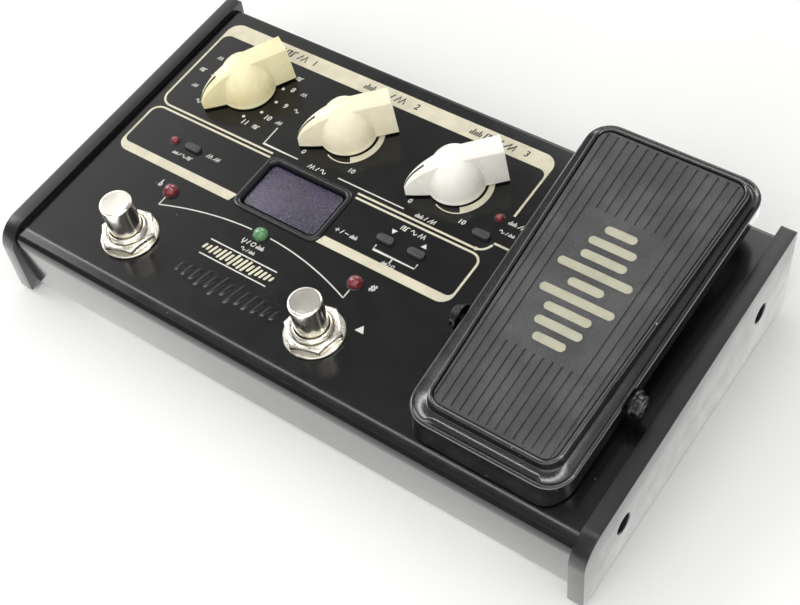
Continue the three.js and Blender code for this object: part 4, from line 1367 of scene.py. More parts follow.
@dataclass
class PanelPrint:
    """Frames, bands, dials and signs printed on the deck, and the low relief near its front edge."""

    finishes: Finishes
    trees: Trees
    press: Press = field(default_factory=Press)
    left: float = -105.2
    right: float = 34.8
    rule: float = 0.8

    def lay(self, name: str, shape: Shape, finish: Material) -> None:
        """Puts a printed shape on the deck."""
        fitted(made(name, shape), DECK, finish, "case", "black_paint", crease=60)

    def upper_frame(self) -> None:
        """Frame round the three knobs, with a thick band along its top."""
        top, under, r, w = 55.4, 48.8, 5.0, self.rule
        inner = 3.0
        band = [
            (self.left, 45.0),
            *arc(self.left + r, top - r, r, 180, 90, 10),
            *arc(self.right - r, top - r, r, 90, 0, 10),
            (self.right, 45.0),
            *arc(self.right - w - inner, under - inner, inner, 0, 90, 8),
            *arc(self.left + w + inner, under - inner, inner, 90, 180, 8),
        ]
        band.insert(len(band) - 18, (self.right - w, 45.0))
        band.append((self.left + w, 45.0))
        left, right = self.left + w / 2, self.right - w / 2
        lines = [
            [(left, 45.2), *arc(left + 4.6, 15.4, 4.6, 180, 270, 10), (-52.6, 10.8)],
            [(right, 45.2), (right, 27.7)],
            [(-16.2, 10.8), (30.2, 10.8), *bend((30.2, 10.8), (33.4, 11.0), (34.5, 14.6), 6)],
            [(34.5, 15.4), (40.5, 15.4)],
        ]
        shapes = [self.press.patch(band)] + [self.press.line(path, w) for path in lines]
        self.lay("print_upper_frame", gathered(shapes), self.finishes.print)

    def lower_frame(self) -> None:
        """Frame round the display row, with a band along its bottom that the display breaks."""
        w, r, inner = self.rule, 4.5, 2.2
        left_band = [
            (self.left, -4.5),
            *arc(self.left + r, -13.1 + r, r, 180, 270, 8),
            (-53.4, -13.1),
            (-52.2, -9.6),
            *arc(self.left + w + inner, -9.6 + inner, inner, 270, 180, 6),
            (self.left + w, -4.5),
        ]
        right_band = [
            (-16.6, -12.4),
            *arc(self.right - r, -12.4 + r, r, 270, 360, 8),
            (self.right, -4.2),
            (self.right - w, -4.2),
            *arc(self.right - w - inner, -9.0 + inner, inner, 0, -90, 6),
            (-15.4, -9.0),
        ]
        left, right = self.left + w / 2, self.right - w / 2
        lines = [
            [(left, -4.7), *arc(left + 3.8, 5.2, 3.8, 180, 90, 8), (-52.4, 9.0)],
            [(-15.8, 9.0), *arc(right - 3.8, 5.2, 3.8, 90, 0, 8), (right, -4.4)],
        ]
        shapes = [self.press.patch(left_band), self.press.patch(right_band)]
        self.lay(
            "print_lower_frame", gathered(shapes + [self.press.line(p, w) for p in lines]),
            self.finishes.print,
        )

    def selector_dial(self) -> None:
        """Eleven dots and numbers round the selector."""
        x, y = KNOB_SPOTS["selector"]
        dots = made("print_selector_dots", Shape())
        grown(dots, self.trees.dots, self.finishes.pale, Radius=12.6, Size=0.6, Thickness=0.05)
        fitted(dots, DECK.at(x, y, 0.01), self.finishes.pale, "case", "black_paint")
        numbers = []
        kinds = [Sign.SINE, Sign.SAW, Sign.SQUARE, Sign.PEAKS]
        for i in range(11):
            a = (240 - 30 * i) * DEG
            nx, ny = x + 16.6 * math.cos(a), y + 14.9 * math.sin(a)
            numbers.append(self.press.number(str(i + 1), nx, ny, 3.0))
            way = 1 if math.cos(a) > -0.1 else -1
            numbers.append(self.press.signs([kinds[i % 4]], nx + way * 5.0, ny, 1.5, 0.22))
        self.lay("print_selector_numbers", gathered(numbers), self.finishes.pale)

    def crescent(self, x: float, y: float) -> Shape:
        """A thick scale on the right of a knob, and the hair line that hooks in from its foot."""
        rings = []
        for i in range(25):
            share = i / 24
            a = (44 - 96 * share) * DEG
            inner, outer = 10.9 - 0.6 * share, 12.6 + 0.35 * share
            corners = (
                (outer, self.press.high), (outer, self.press.low), (inner, self.press.low),
                (inner, self.press.high),
            )
            rings.append([Vector((x + r * math.cos(a), y + r * math.sin(a), z)) for r, z in corners])
        hook = []
        for i in range(17):
            a, r = (-52 - 44 * i / 16) * DEG, 12.75 - 1.9 * (i / 16) ** 1.6
            hook.append((x + r * math.cos(a), y + r * math.sin(a)))
        return loft(rings).add(self.press.line(hook, 0.42))

    def level_dials(self) -> None:
        """The scales of the gain and level knobs."""
        spots = [KNOB_SPOTS["gain"], KNOB_SPOTS["level"]]
        self.lay("print_level_scales", gathered(self.crescent(x, y) for x, y in spots), self.finishes.print)
        number, up = self.press.number, 1.57
        marks = []
        for x, y in spots:
            marks += [number("0", x - 9.5, y - 13.8, 2.6), number("10", x + 10.2, y - 12.8, 2.6)]
        marks += [number("5", x + 13.5 * math.cos(up), y + 13.0 * math.sin(up), 2.0) for x, y in spots]
        self.lay("print_level_numbers", gathered(marks), self.finishes.pale)

    def band_signs(self) -> None:
        """Dark signs on the cream band."""
        rows = [
            ([Sign.SINE, Sign.SAW, Sign.SQUARE, Sign.PEAKS], KNOB_SPOTS["selector"][0]),
            ([Sign.BARS, Sign.SINE, Sign.DASH, Sign.PEAKS], KNOB_SPOTS["gain"][0]),
            ([Sign.BARS, Sign.SQUARE, Sign.DASH, Sign.SAW], KNOB_SPOTS["level"][0]),
        ]
        band = Press(0.03, 0.06)
        shapes = [band.signs(signs, x, 52.1, 2.7, 0.2) for signs, x in rows]
        shapes += [band.number(text, x + 13.5, 52.1, 3.6) for text, (_, x) in zip("123", rows)]
        self.lay("print_band_signs", gathered(shapes), self.finishes.dark)

    def small_signs(self) -> None:
        """The small marks beside lamps and buttons, and the hair lines between them."""
        hair = 0.45
        across = [-73.5 + 78.1 * i / 40 for i in range(41)]
        arch = [(x, -18.8 - 0.0048 * (x + 34.2) ** 2) for x in across]
        lines = [
            [(-73.5, -22.6), (-73.5, -26.2)],
            [p for p in arch if p[0] < -37.6],
            [p for p in arch if p[0] > -30.8],
            [(4.6, -26.0), (4.6, -22.3)],
            [(-58.4, 21.0), (-58.4, 12.9), (-43.3, 12.9)],
            [(-26.0, 12.9), (1.0, 12.9)],
            [(1.7, -3.6), (1.7, -5.6), (17.9, -5.6), (17.9, -3.6)],
            [(9.6, -5.6), (9.6, -7.8)],
            [(-48.0, -28.7), (-20.0, -28.7)],
            [(-48.0, -35.0), (-20.0, -35.0)],
        ]
        press = self.press
        shapes = [press.line(path, hair) for path in lines]
        rows = [
            ([Sign.PEAKS, Sign.DASH, Sign.SINE], -34.8, 12.6, 1.7),
            ([Sign.BARS, Sign.DASH, Sign.SAW], 9.6, 12.9, 1.7),
            ([Sign.SQUARE, Sign.SINE, Sign.PEAKS], 9.4, 6.3, 1.7),
            ([Sign.PLUS, Sign.DASH, Sign.MINUS, Sign.BARS], -9.8, -4.8, 1.6),
            ([Sign.FORK, Sign.DASH, Sign.RING, Sign.BARS], -34.2, -23.6, 1.7),
            ([Sign.SINE, Sign.DASH, Sign.BARS], -34.2, -26.5, 1.3),
            ([Sign.PEAKS, Sign.SAW], -70.0, -1.0, 1.6),
            ([Sign.BARS, Sign.DASH, Sign.SINE, Sign.SQUARE], -80.5, -5.4, 1.3),
            ([Sign.BARS, Sign.SAW], 37.2, 25.0, 1.7),
            ([Sign.SINE, Sign.DASH, Sign.BARS], 36.0, 20.6, 1.3),
            ([Sign.BARS, Sign.DASH, Sign.RING], 9.6, -8.4, 1.2),
            ([Sign.SOFT], -79.2, -18.6, 2.3),
            ([Sign.SHARP], 10.6, -18.4, 2.2),
        ]
        shapes += [press.signs(signs, x, y, size) for signs, x, y, size in rows]
        wedge = [(-1.1, -0.8), (1.1, -0.8), (0.0, 1.0)]
        shapes.append(press.patch([(x + 15.8, y + 3.5) for x, y in wedge]))
        shapes.append(press.patch([(3.6 - x, 3.5 - y) for x, y in wedge]))
        shapes.append(press.patch([(16.6 + x * 1.5, -32.8 + y * 1.5) for x, y in wedge]))
        shapes.append(press.patch([(-85.4 - x * 1.5, -32.8 - y * 1.5) for x, y in wedge]))
        self.lay("print_small_signs", gathered(shapes), self.finishes.pale)

    def motifs(self) -> None:
        """A printed sound wave, and a larger one raised in the paint in front of it."""
        printed = made("print_wave", Shape())
        sizes = {
            "Bars": 17, "Pitch": 1.75, "Width": 1.0, "Reach": 1.9, "Shortest": 0.35, "Lean": 0.3,
            "Thickness": 0.05,
        }
        grown(printed, self.trees.wave, self.finishes.print, **sizes)
        fitted(printed, DECK.at(-34.0, -31.8, 0.01), self.finishes.print, "case", "black_paint")
        raised = made("raised_wave", Shape())
        sizes = {
            "Bars": 13, "Pitch": 3.3, "Width": 1.9, "Reach": 3.2, "Shortest": 0.6, "Lean": 0.25,
            "Thickness": 0.44,
        }
        grown(raised, self.trees.wave, self.finishes.deck, Swing=1.4, **sizes)
        eased(raised, 0.2, 3)
        fitted(raised, DECK.at(-30.0, -42.6, 0.0), self.finishes.deck, "case", "black_paint")

    def build(self) -> None:
        """All of the print."""
        self.upper_frame()
        self.lower_frame()
        self.selector_dial()
        self.level_dials()
        self.band_signs()
        self.small_signs()
        self.motifs()


# ---- controls


@dataclass
class PointerKnobs:
    """Three glossy knobs, each a dome that a tapering pointer blade crosses."""

    finishes: Finishes
    radius: float = 10.0
    height: float = 15.5
    tail: float = 17.0
    tip: float = 17.4
    crest: float = -4.0
    ridge: float = 15.0
    seat: float = 1.2
    chamfer: float = 1.0
    lift: float = 0.5
    line_from: float = 9.8

    def ridge_height(self, x: float) -> float:
        """Height of the blade's ridge at x; it falls in a quarter ellipse towards the tip."""
        if x <= self.crest:
            return self.ridge
        share = (x - self.crest) / (self.tip - self.crest + 0.2)
        return self.seat + (self.ridge - self.seat) * math.sqrt(max(0.0, 1 - share * share))

    def blade_ring(self, x: float) -> list[Vector]:
        """The blade's cross-section at x."""
        share = max(0.0, min(1.0, (x + self.tail) / (self.tip + self.tail)))
        taper = max(0.0, (x - 1.0) / (self.tip - 1.0))
        foot = 4.5 - 0.15 * share - 3.35 * taper**1.7
        top = 2.9 - 0.6 * share - 1.9 * taper
        height = self.ridge_height(x)
        edge = min(self.chamfer, (foot - top) * 0.7, (height - self.seat) * 0.5 + 0.2)
        low = 0.4
        half = [(foot, low), (foot, 1.3), (top + edge, height - edge), (top, height)]
        full = half + [(-y, z) for y, z in half[::-1]]
        slope = 0.9 if x <= -self.tail + 0.01 else 0.0
        return [Vector((x + slope * z / self.ridge, y, z)) for y, z in full]

    def blade(self) -> Shape:
        """The whole blade, from its square tail to its narrow tip."""
        straight = [-self.tail, -10.0, self.crest]
        steps = 22
        turns = [math.pi / 2 * i / steps for i in range(1, steps)]
        curved = [self.crest + (self.tip - self.crest) * math.sin(a) for a in turns]
        return loft([self.blade_ring(x) for x in straight + curved + [self.tip]])

    def dome(self) -> Shape:
        """The dome with a small lip at its foot."""
        r, rise = self.radius, self.height - self.seat
        turns = [i * 90 / 16 for i in range(16)]
        curve = [((r - 0.15) * math.cos(a * DEG), self.seat + rise * math.sin(a * DEG)) for a in turns]
        return lathe([(0, 0), (r - 0.15, 0), (r, 0.15), (r, 0.9), *curve, (0, self.height)], 72)

    def line_on_ridge(self) -> Shape:
        """A thin dark line let into the falling ridge, from halfway down to the tip."""
        rings = []
        for i in range(15):
            x = self.line_from + (self.tip - 0.25 - self.line_from) * i / 14
            z = self.ridge_height(x)
            half = 0.46 - 0.012 * i
            rings.append(
                [
                    Vector((x, y, z + dz))
                    for y, dz in ((-half, -0.25), (half, -0.25), (half, 0.06), (-half, 0.06))
                ]
            )
        return loft(rings)

    def build(self) -> None:
        """The three knobs in place, turned as their joints rest."""
        kinds = {
            "selector": (self.finishes.cream, "knob_cream", 240),
            "gain": (self.finishes.ivory, "knob_ivory", 225),
            "level": (self.finishes.white, "knob_white", 225),
        }
        for name, (finish, slot, pointer) in kinds.items():
            knob = eased(made(f"{name}_pointer_knob", self.blade()), 0.22, 2, 22)
            worked(knob, self.dome(), Work.JOIN)
            worked(knob, lathe([(0, -1), (4.9, -1), (4.9, 3.0), (3.3, 3.0), (3.3, 8.8), (0, 8.8)], 40))
            place = DECK.at(*KNOB_SPOTS[name], self.lift, pointer * DEG)
            body = f"{name}_knob"
            fitted(knob, place, finish, body, slot, [body], 20)
            fitted(made(f"{name}_knob_line", self.line_on_ridge()), place, self.finishes.dark, body, slot)


@dataclass
class Footswitches:
    """Two heavy push switches: threaded bushing, washer, chamfered nut and a plain steel plunger."""

    finishes: Finishes
    trees: Trees
    bushing: float = 6.5
    bore: float = 5.8
    bushing_top: float = 5.4
    pitch: float = 0.9
    across_flats: float = 17.0
    nut_turn: float = 0.3

    def body(self, side: str, place: Place) -> None:
        """The switch body under the deck with its threaded bushing."""
        low, high = place.box(f"footswitch_body_{side}")
        can_top = -1.9
        top = self.bushing_top
        can = eased(
            made(f"footswitch_{side}_can", block((low.x, low.y, low.z), (high.x, high.y, can_top))), 0.5
        )
        worked(can, round_bar(self.bore, -10.2, 4))
        fitted(can, place, self.finishes.zinc, "case", "zinc_steel")
        fine = int((top - 0.4 - can_top) / 0.09)
        side_line = [(self.bushing, can_top + (top - 0.4 - can_top) * i / fine) for i in range(fine + 1)]
        profile = [
            (self.bore, can_top), *side_line, (self.bushing - 0.35, top), (self.bore + 0.15, top),
            (self.bore, top - 0.15),
        ]
        sleeve = made(f"footswitch_{side}_bushing", ring(profile, 72))
        sizes = {"Radius": self.bushing, "Depth": 0.38, "Pitch": self.pitch, "From": -1.8, "To": top - 0.42}
        grown(sleeve, self.trees.thread, self.finishes.nickel, **sizes)
        fitted(sleeve, place, self.finishes.nickel, "case", "nickel", [f"footswitch_body_{side}"], 50)

    def nut(self, side: str, place: Place) -> None:
        """A washer and a hexagon nut with both faces chamfered."""
        low, high = place.box(f"footswitch_nut_{side}")
        seat, washer_top, top = low.z, low.z + 0.9, high.z
        washer = ring(
            [
                (6.8, seat), (9.8, seat), (10.0, seat + 0.2), (10.0, washer_top - 0.25), (9.75, washer_top),
                (6.8, washer_top),
            ],
            64,
        )
        fitted(made(f"footswitch_{side}_washer", washer), place, self.finishes.nickel, "case", "nickel")
        corner = self.across_flats / math.sqrt(3)
        nut = made(f"footswitch_{side}_nut", prism(hexagon(self.across_flats), washer_top, top))
        flat = self.across_flats / 2
        cone = lathe(
            [
                (0, washer_top - 0.01), (flat - 0.1, washer_top - 0.01), (corner + 0.1, washer_top + 0.75),
                (corner + 0.1, top - 0.85), (flat - 0.35, top + 0.01), (0, top + 0.01),
            ],
            72,
        )
        worked(nut, cone, Work.KEEP)
        worked(nut, lathe([(0, 0), (6.75, 0), (6.75, top - 0.5), (7.3, top + 0.1), (0, top + 0.1)], 64))
        eased(nut, 0.09, 2, 38)
        fitted(
            nut, place.at(0, 0, 0, self.nut_turn), self.finishes.nickel, "case", "nickel",
            [f"footswitch_nut_{side}"], 26,
        )

    def plunger(self, side: str, place: Place) -> None:
        """The plain round plunger with a softened rim and a faintly dished top."""
        low, high = place.box(f"footswitch_button_{side}")
        radius, top = 5.5, high.z
        rim = arc(radius - 0.7, top - 0.7, 0.7, 0, 90, 7)
        profile = [
            (0, low.z), (radius - 0.3, low.z), (radius, low.z + 0.3), (radius, top - 4), *rim,
            (radius - 1.3, top - 0.02), (radius - 3, top - 0.06), (0, top - 0.08),
        ]
        piece = made(f"footswitch_{side}_plunger", lathe(profile, 72))
        fitted(
            piece, place, self.finishes.bright, f"{side}_footswitch", "nickel", [f"footswitch_button_{side}"],
            35,
        )

    def build(self) -> None:
        """Both switches."""
        for side in ("left", "right"):
            place = DECK.at(*DECK.middle(f"footswitch_nut_{side}"))
            self.body(side, place)
            self.nut(side, place)
            self.plunger(side, place)


@dataclass
class Lamps:
    """Five round lamps whose domes come up through the deck."""

    finishes: Finishes
    SPOTS = ("led_memory_down", "led_bypass", "led_memory_up", "led_edit", "led_expression")

    def build(self) -> None:
        """Each lamp with its dome, a stem under the deck and its collar."""
        for node in self.SPOTS:
            low, high = DECK.box(node)
            radius = (high.x - low.x) / 2 - 0.5
            top = high.z
            foot = top - radius * 0.95
            dome = arc(0, foot, 1, 0, 84, 12)
            curve = [(radius * x, foot + (y - foot) * (top - foot)) for x, y in dome]
            flange = [
                (radius * 0.6, low.z), (radius * 0.6, -2.9), (radius + 0.5, -2.9), (radius + 0.5, -2.0),
                (radius, -1.9),
            ]
            piece = made(f"{node}_lens", lathe([(0, low.z), *flange, *curve, (0, top)], 40))
            red = node != "led_bypass"
            finish = self.finishes.red if red else self.finishes.green
            place = DECK.at(*DECK.middle(node))
            fitted(piece, place, finish, "case", "led_red" if red else "led_green", [node], 40)
            collar = ring(
                [(radius + 0.05, 0.02), (radius + 0.55, 0.02), (radius + 0.5, 0.22), (radius + 0.12, 0.26)],
                40,
            )
            fitted(made(f"{node}_collar", collar), place, self.finishes.gloss, "case", "gloss_black_plastic")


@dataclass
class PushButtons:
    """Four small soft buttons, each a pill with a crowned top that stands in a slot."""

    finishes: Finishes
    NODES = ("edit_button", "effect_down_button", "effect_up_button", "assign_button")
    length: float = 6.6
    width: float = 3.1

    def pill(self, grow: float) -> list[Flat]:
        """The button's round-ended outline, made larger all round by half of grow."""
        width = self.width + grow
        return rounded(self.length + grow, width, width / 2 - 0.01, 10)

    def build(self) -> None:
        """The buttons and the thin rims round their slots."""
        for node in self.NODES:
            low, high = DECK.box(node)
            top = high.z
            layers = [
                (2.2, low.z), (2.2, low.z + 0.9), (0.0, low.z + 1.0), (0.0, top - 0.5), (-0.12, top - 0.22),
                (-0.4, top - 0.05), (-0.9, top),
            ]
            rings = [level(self.pill(grow), z) for grow, z in layers]
            place = DECK.at(*DECK.middle(node))
            piece = made(f"{node}_cap", loft(rings))
            fitted(piece, place, self.finishes.button, node, "button_rubber", [node], 45)
            edges = ((0.55, 0.0), (0.95, 0.0), (0.9, 0.12), (0.6, 0.12))
            rim = [level(self.pill(grow), z) for grow, z in edges]
            fitted(
                made(f"{node}_rim", loft(rim, looped=True)), place, self.finishes.gloss, "case",
                "gloss_black_plastic",
            )


@dataclass
class Display:
    """The window: a rounded bezel with a sloping inner lip, and a tinted pane under a crinkled film."""

    finishes: Finishes
    radius: float = 3.8

    def frame_rings(self, width: float, depth: float) -> list[list[Vector]]:
        """Rings of the bezel's section, going round its outer edge, over its top and down inside."""
        section = [
            (0.0, 0.02), (0.0, 0.3), (0.12, 0.5), (0.4, 0.66), (0.9, 0.7), (1.5, 0.68), (1.85, 0.5),
            (2.1, 0.1), (2.35, -0.7), (2.45, -1.6), (2.45, -2.4), (1.95, -2.4), (1.9, 0.02),
        ]
        rings = []
        for inset, z in section:
            radius = max(0.9, self.radius - inset * 0.75)
            rings.append(level(rounded(width - 2 * inset, depth - 2 * inset, radius, 10), z))
        return rings

    def build(self) -> None:
        """The bezel and the pane."""
        low, high = DECK.box("display_bezel")
        place = DECK.at(*DECK.middle("display_bezel"))
        width, depth = high.x - low.x, high.y - low.y
        bezel = made("display_frame", loft(self.frame_rings(width, depth), looped=True))
        fitted(bezel, place, self.finishes.gloss, "case", "gloss_black_plastic", ["display_bezel"], 50)
        low, high = DECK.box("display_lens")
        pane = prism(rounded(high.x - low.x, high.y - low.y, 1.8, 8), low.z, high.z)
        fitted(
            eased(made("display_pane", pane), 0.15), place, self.finishes.film, "case", "display_film",
            ["display_lens"],
        )


# ---- expression pedal


@dataclass(frozen=True)
class Outline:
    """Plan of the treadle's tray or of the rim on it: round corners, and narrower at the heel."""

    heel: float
    toe: float
    heel_half: float
    toe_half: float
    radius: float

    def plan(self, inset: float, steps: int = 8) -> list[Flat]:
        """The outline moved in by inset, anticlockwise from the heel's right corner."""
        lean = math.atan((self.toe_half - self.heel_half) / (self.toe - self.heel)) / DEG
        r = max(0.6, self.radius - inset)
        y0, y1 = self.heel + inset + r, self.toe - inset - r
        w0, w1 = self.heel_half - inset - r, self.toe_half - inset - r
        corners = [
            (w0, y0, -90, -lean), (w1, y1, -lean, 90), (-w1, y1, 90, 180 + lean), (-w0, y0, 180 + lean, 270)
        ]
        return [p for x, y, a, b in corners for p in arc(x, y, r, a, b, steps)]

    def level(self, inset: float, z: float) -> list[Vector]:
        """The outline at an inset and a height."""
        return level(self.plan(inset), z)


@dataclass
class Treadle:
    """The rocking pedal: a cast tray with a shelf and a rim, a ribbed rubber mat and its pivot bolts."""

    finishes: Finishes
    trees: Trees
    tray_outline: Outline = Outline(-36.6, 82.4, 27.2, 29.8, 8.5)
    rim_outline: Outline = Outline(-34.3, 81.7, 25.0, 29.2, 8.5)
    wall: float = 2.2
    skirt_inset: float = 0.45
    skirt_at_heel: float = -5.3
    skirt_at_toe: float = -3.6
    heel_flare: float = 2.6
    floor: float = 5.2
    groove_pitch: float = 3.45
    bolt_at: float = 29.0

    def hem(self, inset: float, rise: float) -> list[Vector]:
        """The skirt's sloping lower edge, moved in by inset and up by rise; it flares at the heel."""
        tray = self.tray_outline
        fall = (self.skirt_at_toe - self.skirt_at_heel) / (tray.toe - tray.heel)
        points = []
        for x, y in tray.plan(inset):
            out = self.heel_flare * max(0.0, 1 - (y - tray.heel) / tray.radius)
            points.append(Vector((x, y - out, self.skirt_at_heel + (y - tray.heel) * fall + rise)))
        return points

    def tray(self) -> None:
        """The cast tray with its bores for the pivot bolts."""
        skirt, tray, rim = self.skirt_inset, self.tray_outline.level, self.rim_outline.level
        rings = [
            rim(4.5, 3.6),
            rim(4.25, 3.5),
            rim(4.2, 2.4),
            tray(skirt + self.wall + 0.4, 2.3),
            tray(skirt + self.wall + 0.05, 2.0),
            self.hem(skirt + self.wall, 0.15),
            self.hem(skirt + self.wall - 0.3, 0.0),
            self.hem(skirt + 0.35, 0.0),
            self.hem(skirt, 0.3),
            tray(skirt, 2.0),
            tray(0.4, 2.2),
            tray(0.08, 2.3),
            tray(0.0, 2.5),
            tray(0.04, 2.9),
            tray(0.2, 3.25),
            tray(0.5, 3.5),
            tray(0.85, 3.55),
            tray(1.15, 3.45),
            tray(1.5, 3.2),
            rim(1.9, 3.12),
            rim(2.3, 3.35),
            rim(2.6, 3.9),
            rim(2.75, 4.8),
            rim(2.8, 6.1),
            rim(2.95, 6.48),
            rim(3.3, 6.7),
            rim(3.7, 6.7),
            rim(4.05, 6.5),
            rim(4.2, 6.1),
            rim(4.2, self.floor),
        ]
        sideways = Matrix.Rotation(math.pi / 2, 4, "Y")
        drill = round_bar(2.3, -6, 6).moved(sideways)
        pan = made("treadle_tray", loft(rings))
        worked(pan, gathered([drill.shifted(x, 0, 0) for x in (self.bolt_at - 2, 2 - self.bolt_at)]))
        fitted(pan, TREADLE, self.finishes.treadle, "treadle", "treadle_paint", ["treadle"], 34)

    def ribs_under(self) -> None:
        """Stiffening ribs cast under the tray, clear of the bracket and the gear."""
        ribs = made("treadle_ribs", Shape())
        grown(
            ribs, self.trees.bars, self.finishes.treadle, Count=4, Pitch=12.5, Length=50.0, Width=1.6,
            Height=3.4,
        )
        eased(ribs, 0.4, 2)
        fitted(ribs, TREADLE.at(0, 48, 1.9), self.finishes.treadle, "treadle", "treadle_paint")

    def fanned(self, shape: Shape) -> Shape:
        """Draws straight grooves together towards the heel, as the mat narrows."""
        rim = self.rim_outline
        for p in shape.points:
            share = (p.y - rim.heel) / (rim.toe - rim.heel)
            p.x *= (rim.heel_half + (rim.toe_half - rim.heel_half) * share) / rim.toe_half
        return shape

    def grooves(self, count: int, y0: float, y1: float, shift: float = 0.0) -> Shape:
        """A row of grooves between two depths, as a tool."""
        row = made("grooves", Shape())
        sizes = {"Count": count, "Pitch": self.groove_pitch, "Length": y1 - y0, "Width": 0.7, "Height": 1.2}
        grown(row, self.trees.bars, self.finishes.mat, **sizes)
        shape = shape_of(row).shifted(shift, (y0 + y1) / 2, 6.4 - 0.45 + 0.6)
        return self.fanned(shape)

    def mat(self) -> None:
        """The rubber mat: fine grooves at heel and toe, three long ones each side of a plain field."""
        low, high = TREADLE.box("treadle_mat")
        inset = 4.5
        top = high.z
        level = self.rim_outline.level
        rings = [
            level(inset, low.z),
            level(inset, top - 0.35),
            level(inset + 0.1, top - 0.12),
            level(inset + 0.35, top),
        ]
        mat = made("treadle_rubber_mat", loft(rings))
        toe, heel = self.rim_outline.toe - inset - 1.1, self.rim_outline.heel + inset + 1.1
        outer = 5.5 * self.groove_pitch
        tools = [
            self.grooves(8, 49.5, toe),
            self.grooves(8, heel, -2.5),
            self.grooves(3, heel, toe, outer),
            self.grooves(3, heel, toe, -outer),
        ]
        for tool in tools:
            worked(mat, tool)
        fitted(mat, TREADLE, self.finishes.mat, "treadle", "mat_rubber", ["treadle_mat"], 30)

    def motif(self) -> None:
        """A sound wave of nine bars across the plain field."""
        _, high = TREADLE.box("treadle_mat")
        wave = made("treadle_wave", Shape())
        sizes = {"Bars": 9, "Pitch": 5.2, "Width": 3.0, "Reach": 10.4, "Shortest": 1.2, "Thickness": 0.24}
        grown(wave, self.trees.wave, self.finishes.motif, Swing=1.35, **sizes)
        eased(wave, 0.05, 1)
        fitted(wave, TREADLE.at(0, 23.5, high.z, math.pi / 2), self.finishes.motif, "treadle", "knob_cream")

    def bolt(self, side: str, sign: int) -> None:
        """A shouldered pivot bolt with a washer and a cross recess."""
        name = f"pivot_bolt_{side}"
        profile = [
            (0, -6.0), (1.5, -6.0), (1.7, -5.7), (1.7, 0.0), (4.4, 0.0), (4.6, 0.2), (4.6, 0.75), (4.35, 1.0),
            (3.75, 1.05), (3.65, 1.5), (3.65, 2.5), (3.35, 3.05), (2.85, 3.2), (2.6, 2.95), (2.2, 2.95), (
                1.9, 3.5
            ),
            (1.1, 3.75), (0, 3.8),
        ]
        blank = made(f"{name}_part", lathe(profile, 48))
        grown(blank, self.trees.recess, self.finishes.oxide, Top=3.8, Length=2.6, Width=0.7, Depth=1.4)
        place = TREADLE.at(sign * self.bolt_at, 0).facing("Y", sign * math.pi / 2).facing("Z", 0.5)
        fitted(blank, place, self.finishes.oxide, "treadle", "dark_screw", [name], 28)

    def bumpers(self) -> None:
        """The two rubber stops on the deck under the treadle."""
        for node in ("toe_bumper", "heel_bumper"):
            low, high = DECK.box(node)
            radius = (high.x - low.x) / 2
            shoulder = arc(radius - 1.2, high.z - 1.2, 1.2, 0, 90, 6)
            profile = [
                (0, low.z), (radius, low.z), (radius, low.z + 1.2), (radius - 0.3, low.z + 1.5),
                (radius - 0.3, high.z - 2), *shoulder, (0, high.z),
            ]
            place = DECK.at(*DECK.middle(node))
            fitted(
                made(f"{node}_part", lathe(profile, 40)), place, self.finishes.foot, "case", "rubber", [node],
                40,
            )

    def build(self) -> None:
        """The whole pedal."""
        self.tray()
        self.ribs_under()
        self.mat()
        self.motif()
        for side, sign in (("left", -1), ("right", 1)):
            self.bolt(side, sign)
        self.bumpers()


# ---- back panel


